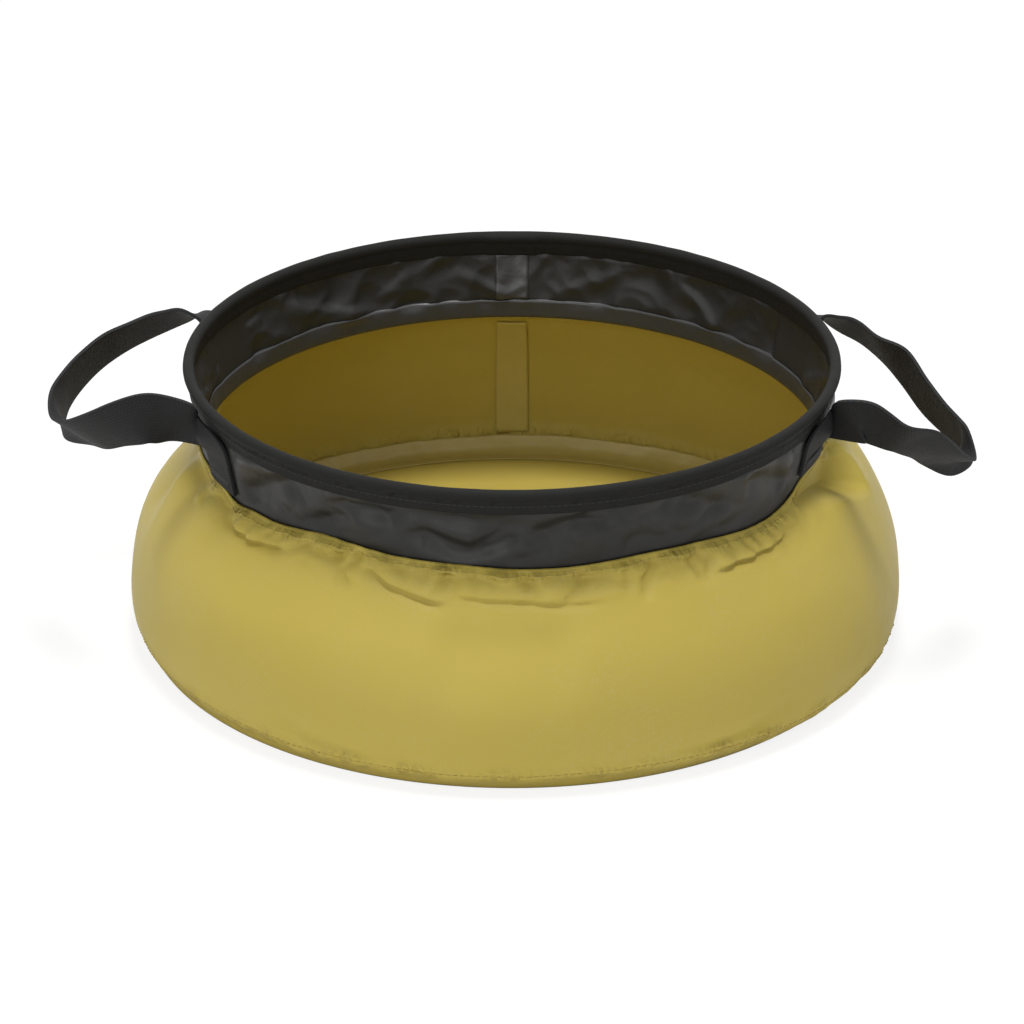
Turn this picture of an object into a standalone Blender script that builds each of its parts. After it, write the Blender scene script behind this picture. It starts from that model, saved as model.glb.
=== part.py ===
"""Collapsible camp washbasin: a fabric bowl held open by a spring-steel hoop, with two webbing handles.

Frame: the origin is on the floor under the bowl's centre, +X points to the right handle, +Y to the back
and +Z up. Units are metres. Every wall is drawn as its outer face and thickened inwards.
"""

import math

import bmesh
import bpy
from mathutils import Matrix, Vector

# Bowl
RIM_RADIUS = 0.1435
RIM_HEIGHT = 0.125
WAIST_RADIUS = 0.1397
WAIST_HEIGHT = 0.0925
BELLY_RADIUS = 0.1752
FABRIC = 0.0008
TUCK_DEPTH = 0.0065
CLOTH_GAP = 0.0003

# Hoop and the hem that holds it
WIRE_DIAMETER = 0.003
WIRE_END_GAP = 0.0006
FERRULE_LENGTH = 0.018
FERRULE_WALL = 0.0006
HEM_THICKNESS = 0.0016
SKIRT_THICKNESS = 0.0007
SKIRT_HEIGHT = 0.0046

# Seam tapes and thread
TAPE_THICKNESS = 0.0003
WAIST_TAPE_WIDTH = 0.009
BASE_TAPE_WIDTH = 0.0075
SIDE_TAPE_WIDTH = 0.016
SIDE_TAPE_END_GAP = 0.0008
THREAD_HEIGHT = 0.0006
THREAD_DEPTH = 0.0004
WAIST_STITCH_INSET = 0.0025
BASE_STITCH_HEIGHT = 0.009
RIM_STITCH_DROP = 0.0009

# Webbing handles
WEBBING_WIDTH = 0.025
WEBBING_THICKNESS = 0.0015
ROOT_OFFSET = 0.062
HINGE_DROP = 0.0055
HINGE_RIM_CLEARANCE = 0.0035
FOLD_CLEARANCE = 0.00095
FOLD_RUN = 0.0025
LEFT_REACH = 0.0645
LEFT_DROP = 0.02
RIGHT_REACH = 0.0658
RIGHT_DROP = 0.0335
TAIL_FOOT_GAP = 0.0015
TAIL_FREE_HEIGHT = 0.0085
TAIL_BOW = 0.002
TAIL_BOW_DROP = 0.004
TACK_WIDTH = 0.018
TACK_HEIGHT = 0.0025
TACK_THICKNESS = 0.0005
TACK_INSET = 0.004

# Height over which a wall's slope is measured, and the distance under which corners are merged
SLOPE_SPAN = 0.001
WELD_DISTANCE = 0.00001

# Facets: every ring has the same steps, so that nested rings keep their gaps
RING_STEPS = 60
HEM_ARC_STEPS = 8
TUBE_SIDES = 12
WIRE_BEVEL_STEPS = 2
POCKET_BEVEL_STEPS = 6
WALL_SAMPLES = 16
TAIL_COLUMNS = 5
TAIL_ROWS = 5
TAIL_BOW_ROWS = 4
HANDLE_SAMPLES = 44
HANDLE_COLUMNS = 6

# Lower wall, foot to top edge: share of the waist height, and share of the way out from collar to belly
LOWER_WALL_SHARES = [
    (0.0, 0.77), (0.032, 0.833), (0.086, 0.943), (0.16, 0.99), (0.27, 0.99), (0.43, 0.932),
    (0.60, 0.781), (0.76, 0.537), (0.87, 0.323), (0.93, 0.157), (0.97, 0.053), (1.0, 0.0),
]
# Upper wall, top edge to lower edge: share of its height, and share of the way in from rim to waist
UPPER_WALL_SHARES = [
    (0.0, 0.0), (0.17, 0.0), (0.3, 0.13), (0.5, 0.44), (0.7, 0.76), (0.86, 0.95), (1.0, 1.0),
]
# Handles, front root to back root: shares of the reach, of half the spread and of the drop,
# then the degrees by which the strap's width leans from upright towards the front
LEFT_HANDLE_SHARES = [
    (0.11, -1.0, -0.03, 82), (0.21, -0.98, -0.1, 34), (0.34, -0.94, -0.04, 6), (0.62, -0.74, 0.33, 8),
    (0.86, -0.4, 0.76, 20), (1.0, 0.0, 1.0, 30), (0.93, 0.38, 0.82, 36), (0.77, 0.62, 0.6, 40),
    (0.6, 0.79, 0.42, 44), (0.42, 0.92, 0.25, 54), (0.26, 0.985, 0.12, 74), (0.12, 1.0, 0.03, 88),
]
RIGHT_HANDLE_SHARES = [
    (0.12, -1.0, 0.0, 82), (0.22, -0.99, 0.0, 42), (0.33, -0.97, 0.06, 20), (0.46, -0.94, 0.19, 24),
    (0.66, -0.82, 0.45, 22), (0.83, -0.61, 0.71, 18), (0.96, -0.34, 0.91, 22), (0.95, -0.09, 1.0, 30),
    (0.81, 0.16, 0.9, 33), (0.67, 0.41, 0.73, 34), (0.52, 0.66, 0.57, 38), (0.37, 0.88, 0.4, 54),
    (0.24, 0.98, 0.23, 74), (0.12, 1.0, 0.08, 88),
]
ROOT_LEAN = 90

# Places that follow from the sizes
WIRE_RADIUS = WIRE_DIAMETER / 2
TUNNEL_RADIUS = WIRE_RADIUS + CLOTH_GAP
HEM_RADIUS = TUNNEL_RADIUS + HEM_THICKNESS
FERRULE_RADIUS = WIRE_RADIUS + CLOTH_GAP + FERRULE_WALL
SLOT_HALF_WIDTH = FABRIC / 2 + CLOTH_GAP
SKIRT_OUTSET = SLOT_HALF_WIDTH + SKIRT_THICKNESS
SKIRT_BOTTOM = RIM_HEIGHT - HEM_RADIUS - SKIRT_HEIGHT
UPPER_TOP = RIM_HEIGHT - FERRULE_RADIUS - 2 * CLOTH_GAP
UPPER_BOTTOM = WAIST_HEIGHT - TUCK_DEPTH
UPPER_TOP_RADIUS = RIM_RADIUS + FABRIC / 2
HINGE_HEIGHT = RIM_HEIGHT - HINGE_DROP
HINGE_RADIUS = RIM_RADIUS + HEM_RADIUS + HINGE_RIM_CLEARANCE + WEBBING_THICKNESS / 2
HINGE_X = math.sqrt(HINGE_RADIUS**2 - (ROOT_OFFSET - WEBBING_WIDTH / 2) ** 2)
TAIL_BOTTOM = WAIST_HEIGHT + TAIL_FOOT_GAP
TAIL_LEAVES = HINGE_HEIGHT - TAIL_FREE_HEIGHT
BACK = math.pi / 2

# Each finish: colour, roughness and metallic value
FINISHES = {
    "yellow_cloth": ((0.44, 0.34, 0.085), 0.45, 0.0),
    "yellow_tape": ((0.52, 0.45, 0.22), 0.35, 0.0),
    "yellow_thread": ((0.36, 0.27, 0.07), 0.7, 0.0),
    "black_cloth": ((0.030, 0.030, 0.028), 0.4, 0.0),
    "black_tape": ((0.045, 0.045, 0.045), 0.35, 0.0),
    "black_thread": ((0.018, 0.018, 0.018), 0.7, 0.0),
    "black_webbing": ((0.022, 0.022, 0.022), 0.75, 0.0),
    "spring_steel": ((0.55, 0.55, 0.56), 0.3, 1.0),
}


def clear_scene():
    for item in list(bpy.data.objects):
        bpy.data.objects.remove(item, do_unlink=True)


def new_collection(name):
    collection = bpy.data.collections.new(name)
    bpy.context.scene.collection.children.link(collection)
    return collection


def new_material(name, finish):
    colour, roughness, metallic = FINISHES[finish]
    material = bpy.data.materials.new(f"{name}_{finish}")
    material.use_nodes = True
    shader = material.node_tree.nodes["Principled BSDF"]
    shader.inputs["Base Color"].default_value = (*colour, 1.0)
    shader.inputs["Roughness"].default_value = roughness
    shader.inputs["Metallic"].default_value = metallic
    return material


def add_object(name, data, collection, finish=None):
    """An object in a collection, with a material of its own where it has a finish."""
    item = bpy.data.objects.new(name, data)
    collection.objects.link(item)
    if finish:
        data.materials.append(new_material(name, finish))
    return item


def smooth_path(points, samples):
    """Points along a curve through the given ones, evenly spread over their spans."""
    rows = [Vector(p) for p in points]
    rows = [2 * rows[0] - rows[1]] + rows + [2 * rows[-1] - rows[-2]]
    spans = len(rows) - 3
    path = []
    for i in range(samples + 1):
        at = i * spans / samples
        k = min(int(at), spans - 1)
        t = at - k
        a, b, c, d = rows[k:k + 4]
        square = 2 * a - 5 * b + 4 * c - d
        cube = 3 * b - a - 3 * c + d
        path.append((2 * b + (c - a) * t + square * t**2 + cube * t**3) / 2)
    return path


def radius_at(outline, height):
    """Radius of a wall's outer face at a height, read from its outline of (radius, height)."""
    rows = sorted(outline, key=lambda p: p[1])
    for low, high in zip(rows, rows[1:]):
        if height <= high[1]:
            break
    share = (height - low[1]) / (high[1] - low[1])
    return low[0] + share * (high[0] - low[0])


def polar(radius, angle, height):
    return Vector((radius * math.cos(angle), radius * math.sin(angle), height))


def profile_mesh(name, profile, closed):
    mesh = bpy.data.meshes.new(name)
    count = len(profile)
    edges = [(i, i + 1) for i in range(count - 1)]
    if closed:
        edges.append((count - 1, 0))
    mesh.from_pydata([(r, 0, z) for r, z in profile], edges, [])
    return mesh


def turned(name, profile, collection, finish, closed=True, wall=0.0, arc=None, centre=0.0):
    """Turns a profile of (radius, height) about Z, over an arc about a centre angle, or the full circle.

    A closed profile makes a solid ring. An open one, or one turned over an arc, gets a wall inwards.
    """
    if closed:
        area = sum(p[0] * q[1] - q[0] * p[1] for p, q in zip(profile, profile[1:] + profile[:1]))
        if area > 0:
            profile = profile[::-1]
    item = add_object(name, profile_mesh(name, profile, closed), collection, finish)
    screw = item.modifiers.new("Turn", "SCREW")
    screw.axis = "Z"
    screw.angle = arc or math.tau
    screw.steps = max(2, round(RING_STEPS * screw.angle / math.tau))
    screw.render_steps = screw.steps
    screw.use_merge_vertices = arc is None
    screw.merge_threshold = WELD_DISTANCE
    screw.use_smooth_shade = True
    if arc:
        item.rotation_euler.z = centre - arc / 2
    if wall:
        solidify = item.modifiers.new("Wall", "SOLIDIFY")
        solidify.thickness = wall
        solidify.offset = -1
        solidify.use_even_offset = True
    return item


def inset_line(outline, low, high, inset, samples):
    """Part of a wall's outline between two heights, top first, moved in square to the wall."""
    line = []
    for i in range(samples + 1):
        height = high + (low - high) * i / samples
        rise = radius_at(outline, height + SLOPE_SPAN / 2) - radius_at(outline, height - SLOPE_SPAN / 2)
        slope = rise / SLOPE_SPAN
        step = inset / math.hypot(1, slope)
        line.append((radius_at(outline, height) - step, height + step * slope))
    return line


def lower_outline(upper):
    """Outline of the lower wall, whose top edge fits round the upper wall's tucked one."""
    collar = radius_at(upper, WAIST_HEIGHT) + 2 * CLOTH_GAP + FABRIC
    flare = BELLY_RADIUS - collar
    rows = [(collar + flare * out_share, WAIST_HEIGHT * up_share, 0) for up_share, out_share in LOWER_WALL_SHARES]
    return [(p.x, p.y) for p in smooth_path(rows, WALL_SAMPLES)][::-1]


def upper_outline():
    height = UPPER_TOP - UPPER_BOTTOM
    lean = UPPER_TOP_RADIUS - WAIST_RADIUS
    return [
        (UPPER_TOP_RADIUS - lean * in_share, UPPER_TOP - height * down_share)
        for down_share, in_share in UPPER_WALL_SHARES
    ]


def hem_profile():
    """Section of the hem: a tube round the wire, open below between skirts that hold the wall's edge."""
    def arc(radius, half_width):
        start = math.asin(half_width / radius)
        turn = math.tau - 2 * start
        angles = [start + turn * i / HEM_ARC_STEPS for i in range(HEM_ARC_STEPS + 1)]
        return [(RIM_RADIUS + radius * math.sin(a), RIM_HEIGHT - radius * math.cos(a)) for a in angles]

    outer = arc(HEM_RADIUS, SKIRT_OUTSET)
    inner = arc(TUNNEL_RADIUS, SLOT_HALF_WIDTH)
    foot = [RIM_RADIUS + x for x in (-SKIRT_OUTSET, -SLOT_HALF_WIDTH, SLOT_HALF_WIDTH, SKIRT_OUTSET)]
    left = [(foot[0], SKIRT_BOTTOM), (foot[1], SKIRT_BOTTOM)]
    right = [(foot[2], SKIRT_BOTTOM), (foot[3], SKIRT_BOTTOM)]
    return outer + left + inner[::-1] + right


def wire_curve(name, radius, angles, collection, finish=None, bevel=WIRE_BEVEL_STEPS):
    """A round bar along part of the hoop's circle, with filled ends."""
    curve = bpy.data.curves.new(name, "CURVE")
    curve.dimensions = "3D"
    curve.bevel_depth = radius
    curve.bevel_resolution = bevel
    curve.use_fill_caps = True
    spline = curve.splines.new("POLY")
    spline.points.add(len(angles) - 1)
    for point, angle in zip(spline.points, angles):
        point.co = (*polar(RIM_RADIUS, angle, RIM_HEIGHT), 1.0)
    return add_object(name, curve, collection, finish)


def curve_to_mesh(item, collection):
    """The same shape as a welded mesh, which a Boolean can use."""
    graph = bpy.context.evaluated_depsgraph_get()
    mesh = bpy.data.meshes.new_from_object(item.evaluated_get(graph))
    work = bmesh.new()
    work.from_mesh(mesh)
    bmesh.ops.remove_doubles(work, verts=work.verts, dist=WELD_DISTANCE)
    bmesh.ops.recalc_face_normals(work, faces=work.faces)
    work.to_mesh(mesh)
    work.free()
    name = item.name
    matrix = item.matrix_world.copy()
    bpy.data.objects.remove(item, do_unlink=True)
    welded = add_object(name, mesh, collection)
    welded.matrix_world = matrix
    return welded


def make_hoop(parts, cutters):
    """The sprung wire, its sleeve at the back and the hem round them."""
    step = math.tau / RING_STEPS
    end = WIRE_END_GAP / 2 / RIM_RADIUS
    angles = [BACK + end] + [BACK + step * i for i in range(1, RING_STEPS)] + [BACK + math.tau - end]
    wire_curve("rim_hoop", WIRE_RADIUS, angles, parts, "spring_steel")

    sleeve = [math.tau * i / TUBE_SIDES for i in range(TUBE_SIDES)]
    section = [
        (RIM_RADIUS + FERRULE_RADIUS * math.cos(a), RIM_HEIGHT + FERRULE_RADIUS * math.sin(a))
        for a in sleeve
    ]
    arc = FERRULE_LENGTH / RIM_RADIUS
    turned("hoop_ferrule", section, parts, "spring_steel", wall=FERRULE_WALL, arc=arc, centre=BACK)

    hem = turned("rim_binding", hem_profile(), parts, "black_cloth")
    half = arc / 2 + CLOTH_GAP / RIM_RADIUS
    pocket_angles = [BACK - half, BACK, BACK + half]
    pocket_radius = FERRULE_RADIUS + CLOTH_GAP
    pocket = wire_curve("ferrule_pocket", pocket_radius, pocket_angles, cutters, bevel=POCKET_BEVEL_STEPS)
    pocket = curve_to_mesh(pocket, cutters)
    pocket.hide_render = True
    pocket.display_type = "WIRE"
    cut = hem.modifiers.new("Pocket", "BOOLEAN")
    cut.operation = "DIFFERENCE"
    cut.solver = "EXACT"
    cut.object = pocket


def thread_ring(name, outline, height, collection, finish):
    """A row of stitches, drawn as one flat band of thread just off the cloth."""
    low = height - THREAD_HEIGHT / 2
    high = height + THREAD_HEIGHT / 2
    inner = max(radius_at(outline, low), radius_at(outline, high)) + CLOTH_GAP
    outer = inner + THREAD_DEPTH
    turned(name, [(outer, high), (outer, low), (inner, low), (inner, high)], collection, finish)


def make_walls(parts):
    """The two cloth walls, and the tapes that seal their seams on the inside."""
    upper = upper_outline()
    lower = lower_outline(upper)
    turned("upper_wall", upper, parts, "black_cloth", closed=False, wall=FABRIC)
    turned("lower_wall", lower, parts, "yellow_cloth", closed=False, wall=FABRIC)

    inset = FABRIC + CLOTH_GAP
    tape_low = UPPER_BOTTOM
    tape_high = tape_low + WAIST_TAPE_WIDTH
    waist_tape = inset_line(upper, tape_low, tape_high, inset, 2)
    turned("waist_seam_tape", waist_tape, parts, "black_tape", closed=False, wall=TAPE_THICKNESS)

    side_low = tape_high + SIDE_TAPE_END_GAP
    side_high = SKIRT_BOTTOM - SIDE_TAPE_END_GAP
    side = inset_line(upper, side_low, side_high, inset, 4)
    side_tape("upper_seam_tape", side, parts, "black_tape", RIM_RADIUS)

    corner_height = BASE_TAPE_WIDTH
    base_tape = inset_line(lower, FABRIC + 3 * CLOTH_GAP, corner_height, inset + CLOTH_GAP, 3)
    corner_radius = radius_at(lower, 0) - inset - CLOTH_GAP
    base_tape.append((corner_radius, FABRIC + CLOTH_GAP))
    base_tape.append((corner_radius - BASE_TAPE_WIDTH, FABRIC + CLOTH_GAP))
    turned("base_seam_tape", base_tape, parts, "yellow_tape", closed=False, wall=TAPE_THICKNESS)

    low_end = corner_height + 2 * SIDE_TAPE_END_GAP
    high_end = UPPER_BOTTOM - TUCK_DEPTH
    low_side = inset_line(lower, low_end, high_end, inset + CLOTH_GAP, 8)
    side_tape("lower_seam_tape", low_side, parts, "yellow_tape", BELLY_RADIUS)
    return upper, lower


def side_tape(name, line, collection, finish, radius):
    """The tape over a wall's upright seam at the back."""
    arc = SIDE_TAPE_WIDTH / radius
    turned(name, line, collection, finish, closed=False, wall=TAPE_THICKNESS, arc=arc, centre=BACK)


def make_base(parts, lower):
    """The flat round panel that the basin stands on, inside the lower wall's foot."""
    work = bmesh.new()
    radius = radius_at(lower, 0) - FABRIC - 2 * CLOTH_GAP
    lift = Matrix.Translation((0, 0, FABRIC / 2))
    bmesh.ops.create_cone(
        work, cap_ends=True, segments=RING_STEPS, radius1=radius, radius2=radius, depth=FABRIC, matrix=lift
    )
    mesh = bpy.data.meshes.new("base_panel")
    work.to_mesh(mesh)
    work.free()
    add_object("base_panel", mesh, parts, "yellow_cloth")


def make_threads(parts, lower):
    """The topstitching round the waist, the base and the hem."""
    skirt_radius = RIM_RADIUS + SKIRT_OUTSET
    skirt = [(skirt_radius, SKIRT_BOTTOM), (skirt_radius, RIM_HEIGHT)]
    thread_ring("waist_stitching", lower, WAIST_HEIGHT - WAIST_STITCH_INSET, parts, "yellow_thread")
    thread_ring("base_stitching", lower, BASE_STITCH_HEIGHT, parts, "yellow_thread")
    thread_ring("rim_stitching", skirt, RIM_HEIGHT - HEM_RADIUS - RIM_STITCH_DROP, parts, "black_thread")


def tail_rows(upper, side, end):
    """Rows across one sewn strap end, from its foot on the wall to the fold at the hinge line.

    side is 1 at the right handle and -1 at the left; end is 1 at the back root and -1 at the front.
    """
    root = math.atan2(end * ROOT_OFFSET, side * HINGE_X)
    across = [i / (TAIL_COLUMNS - 1) - 0.5 for i in range(TAIL_COLUMNS)]
    seat = CLOTH_GAP + WEBBING_THICKNESS / 2
    turn = side * end

    def wall_row(height):
        radius = radius_at(upper, height) + seat
        return [polar(radius, root + turn * share * WEBBING_WIDTH / radius, height) for share in across]

    heights = [TAIL_BOTTOM + (TAIL_LEAVES - TAIL_BOTTOM) * i / (TAIL_ROWS - 1) for i in range(TAIL_ROWS)]
    rows = [wall_row(z) for z in heights]
    places = [end * (ROOT_OFFSET + share * WEBBING_WIDTH) for share in across]
    fold = [Vector((side * HINGE_X, place, HINGE_HEIGHT)) for place in places]
    for i in range(1, TAIL_BOW_ROWS + 1):
        t = i / TAIL_BOW_ROWS
        row = []
        for start, stop in zip(rows[TAIL_ROWS - 1], fold):
            out = Vector((start.x, start.y, 0)).normalized()
            bow = start + out * TAIL_BOW
            bow.z = HINGE_HEIGHT - TAIL_BOW_DROP
            row.append(start * (1 - t) ** 2 + bow * 2 * t * (1 - t) + stop * t**2)
        rows.append(row)
    return rows, root


def webbing_strip(name, rows, parts):
    """A length of webbing: a strip of quads through rows of points across it, given its thickness."""
    mesh = bpy.data.meshes.new(name)
    columns = len(rows[0])
    faces = []
    for j in range(len(rows) - 1):
        for i in range(columns - 1):
            a = j * columns + i
            faces.append((a, a + 1, a + columns + 1, a + columns))
    mesh.from_pydata([p for row in rows for p in row], [], faces)
    strip = add_object(name, mesh, parts, "black_webbing")
    triangles = strip.modifiers.new("Triangles", "TRIANGULATE")
    triangles.quad_method = "FIXED"
    solidify = strip.modifiers.new("Thickness", "SOLIDIFY")
    solidify.thickness = WEBBING_THICKNESS
    solidify.offset = 0
    return strip


def make_tail(name, upper, side, end, parts):
    """A strap end sewn flat on the upper wall, with the bar tack that holds its foot."""
    rows, root = tail_rows(upper, side, end)
    webbing_strip(f"{name}_tail", rows, parts)

    height = TAIL_BOTTOM + TACK_INSET
    face = radius_at(upper, height) + CLOTH_GAP + WEBBING_THICKNESS
    radius = face + CLOTH_GAP + TACK_THICKNESS / 2
    work = bmesh.new()
    size = Matrix.Diagonal((TACK_THICKNESS, TACK_WIDTH, TACK_HEIGHT, 1))
    bmesh.ops.create_cube(work, size=1, matrix=size)
    mesh = bpy.data.meshes.new(f"{name}_bar_tack")
    work.to_mesh(mesh)
    work.free()
    tack = add_object(f"{name}_bar_tack", mesh, parts, "black_thread")
    tack.location = polar(radius, root, height)
    tack.rotation_euler.z = root


def handle_path(side, reach, drop, shares):
    """Points of a handle's centre line from its hinge axis, and the lean of the strap at each.

    Both ends run straight out from the hinge axis for a short way, flat, before the strap turns.
    """
    start = FOLD_CLEARANCE + FOLD_RUN
    rows = [(start, -ROOT_OFFSET, 0.0, ROOT_LEAN)]
    for out_share, side_share, drop_share, lean in shares:
        rows.append((out_share * reach, side_share * ROOT_OFFSET, -drop_share * drop, lean))
    rows.append((start, ROOT_OFFSET, 0.0, ROOT_LEAN))
    line = smooth_path([(side * x, y, z) for x, y, z, lean in rows], HANDLE_SAMPLES)
    turns = smooth_path([(lean, 0, 0) for x, y, z, lean in rows], HANDLE_SAMPLES)
    leans = [min(turn.x, ROOT_LEAN) for turn in turns]
    front = Vector((side * FOLD_CLEARANCE, -ROOT_OFFSET, 0))
    back = Vector((side * FOLD_CLEARANCE, ROOT_OFFSET, 0))
    leans = [ROOT_LEAN] + leans + [ROOT_LEAN]
    return [front] + line + [back], [math.radians(lean) for lean in leans]


def make_handle(name, side, reach, drop, shares, parts):
    """One loop of webbing, with its origin on the line about which it swings."""
    line, leans = handle_path(side, reach, drop, shares)
    across = [i / (HANDLE_COLUMNS - 1) - 0.5 for i in range(HANDLE_COLUMNS)]
    rows = []
    for i, lean in enumerate(leans):
        run = (line[min(i + 1, len(line) - 1)] - line[max(i - 1, 0)]).normalized()
        width = Vector((0, -math.sin(lean), math.cos(lean)))
        width = (width - run * width.dot(run)).normalized() * WEBBING_WIDTH
        rows.append([line[i] + width * share for share in across])
    handle = webbing_strip(name, rows, parts)
    handle.location = (side * HINGE_X, 0, HINGE_HEIGHT)


def main():
    clear_scene()
    parts = new_collection("camp_washbasin")
    guides = new_collection("guides")

    make_hoop(parts, guides)
    upper, lower = make_walls(parts)
    make_base(parts, lower)
    make_threads(parts, lower)

    handles = [
        ("handle_left", -1, LEFT_REACH, LEFT_DROP, LEFT_HANDLE_SHARES),
        ("handle_right", 1, RIGHT_REACH, RIGHT_DROP, RIGHT_HANDLE_SHARES),
    ]
    for name, side, reach, drop, shares in handles:
        make_handle(name, side, reach, drop, shares, parts)
        for end, place in ((-1, "front"), (1, "back")):
            make_tail(f"{name}_{place}", upper, side, end, parts)


main()
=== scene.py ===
"""Looks of a collapsible camp washbasin: coated cloth walls, a wired hem, webbing handles and their stitching.

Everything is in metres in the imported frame: the origin is on the floor under the bowl's centre, +X points to
the right handle, +Y to the back and +Z up. Angles go round the bowl from +X, so that -90 degrees is the front.
"""

import sys

import logging
import math
import random
from dataclasses import dataclass, field
from enum import Enum
from typing import Callable, Protocol, Sequence

import bmesh
import bpy
import numpy as np
from mathutils import Matrix, Vector, noise


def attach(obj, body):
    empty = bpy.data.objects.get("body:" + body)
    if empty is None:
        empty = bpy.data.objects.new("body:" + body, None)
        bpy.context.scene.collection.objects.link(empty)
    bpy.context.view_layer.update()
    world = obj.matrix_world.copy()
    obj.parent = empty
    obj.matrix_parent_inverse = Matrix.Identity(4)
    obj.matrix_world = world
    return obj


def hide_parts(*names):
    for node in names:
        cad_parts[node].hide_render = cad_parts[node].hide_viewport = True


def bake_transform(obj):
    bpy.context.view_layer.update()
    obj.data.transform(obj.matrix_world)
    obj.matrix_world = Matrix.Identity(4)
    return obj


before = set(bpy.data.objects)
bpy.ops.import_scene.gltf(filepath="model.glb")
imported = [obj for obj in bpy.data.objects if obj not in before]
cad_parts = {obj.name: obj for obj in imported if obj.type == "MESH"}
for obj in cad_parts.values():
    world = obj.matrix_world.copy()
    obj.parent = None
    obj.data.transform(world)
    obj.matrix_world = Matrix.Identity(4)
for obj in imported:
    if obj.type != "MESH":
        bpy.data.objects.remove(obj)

LOG = logging.getLogger("washbasin")
MM = 0.001
BACK = math.pi / 2
Line = Sequence[tuple[float, float]]
Colour = tuple[float, float, float]
Place = Callable[[np.ndarray, np.ndarray], np.ndarray]
Layer = tuple[float, float, int]


class Body(Enum):
    """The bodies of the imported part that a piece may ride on."""

    BASE = "base"
    RIM = "rim"
    LEFT = "handle_left"
    RIGHT = "handle_right"


class Side(Enum):
    """The two handles; the value is the sign of X."""

    LEFT = -1
    RIGHT = 1


class End(Enum):
    """The two sewn ends of a handle; the value is the sign of Y."""

    FRONT = -1
    BACK = 1


def smoothstep(low: float, high: float, value: np.ndarray) -> np.ndarray:
    """A soft ramp from 0 at low to 1 at high.

    Args:
        low: Where the ramp starts; it may be above high for a falling ramp.
        high: Where the ramp ends.
        value: The values to look up.

    Returns:
        The ramp at each value.
    """
    share = np.clip((np.asarray(value, float) - low) / (high - low), 0, 1)
    return share * share * (3 - 2 * share)


def hump(value: np.ndarray, middle: float, width: float) -> np.ndarray:
    """A bell curve of height 1 about a middle."""
    return np.exp(-(((value - middle) / width) ** 2))


def wrapped(angle: np.ndarray) -> np.ndarray:
    """Angles brought to within half a turn of 0."""
    return np.arctan2(np.sin(angle), np.cos(angle))


def on_circle(radius: np.ndarray, angle: np.ndarray, height: np.ndarray) -> np.ndarray:
    """Places at radii, angles and heights about the bowl's axis."""
    return np.column_stack([radius * np.cos(angle), radius * np.sin(angle), np.broadcast_to(height, angle.shape)])


def run_along(points: np.ndarray) -> np.ndarray:
    """Metres along a line of points, from its first one to each of them."""
    return np.concatenate([[0], np.cumsum(np.linalg.norm(np.diff(points, axis=0), axis=1))])


def curve_through(points: Sequence[Sequence[float]], samples: int) -> np.ndarray:
    """Points along a Catmull-Rom curve through the given ones, evenly spread over their spans.

    Args:
        points: The points that the curve passes.
        samples: How many steps the curve is cut into.

    Returns:
        An array of samples + 1 points.
    """
    rows = np.array(points, float)
    rows = np.vstack([2 * rows[0] - rows[1], rows, 2 * rows[-1] - rows[-2]])
    spans = len(rows) - 3
    at = np.linspace(0, spans, samples + 1)
    k = np.minimum(at.astype(int), spans - 1)
    t = (at - k)[:, None]
    a, b, c, d = (rows[k + i] for i in range(4))
    return (2 * b + (c - a) * t + (2 * a - 5 * b + 4 * c - d) * t**2 + (3 * b - a - 3 * c + d) * t**3) / 2


def noise_at(points: np.ndarray, size: float, seed: float = 0.0) -> np.ndarray:
    """Soft noise from -1 to 1.

    Args:
        points: Rows of coordinates in metres.
        size: The width of one lump in metres.
        seed: Moves the pattern, so that two layers differ.

    Returns:
        One value for each row.
    """
    shift = Vector((seed * 7.31, seed * 3.17, seed * 5.71))
    return np.array([noise.noise(Vector(p) / size + shift) for p in points.tolist()])


def crumple_at(points: np.ndarray, size: float, seed: float = 0.0) -> np.ndarray:
    """Facets between sharp creases, from 0 in a crease to about 0.6 on a facet.

    Args:
        points: Rows of coordinates in metres.
        size: The width of one facet in metres.
        seed: Moves the pattern, so that two layers differ.

    Returns:
        One value for each row.
    """
    bent = points + 0.25 * size * np.column_stack([noise_at(points, size * 1.4, seed + k) for k in (11, 12, 13)])
    return np.abs(noise_at(bent, size, seed))


def layered(points: np.ndarray, *layers: Layer) -> np.ndarray:
    """The sum of some layers of soft noise, each with its depth, lump size and seed."""
    return sum(depth * noise_at(points, size, seed) for depth, size, seed in layers)


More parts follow.
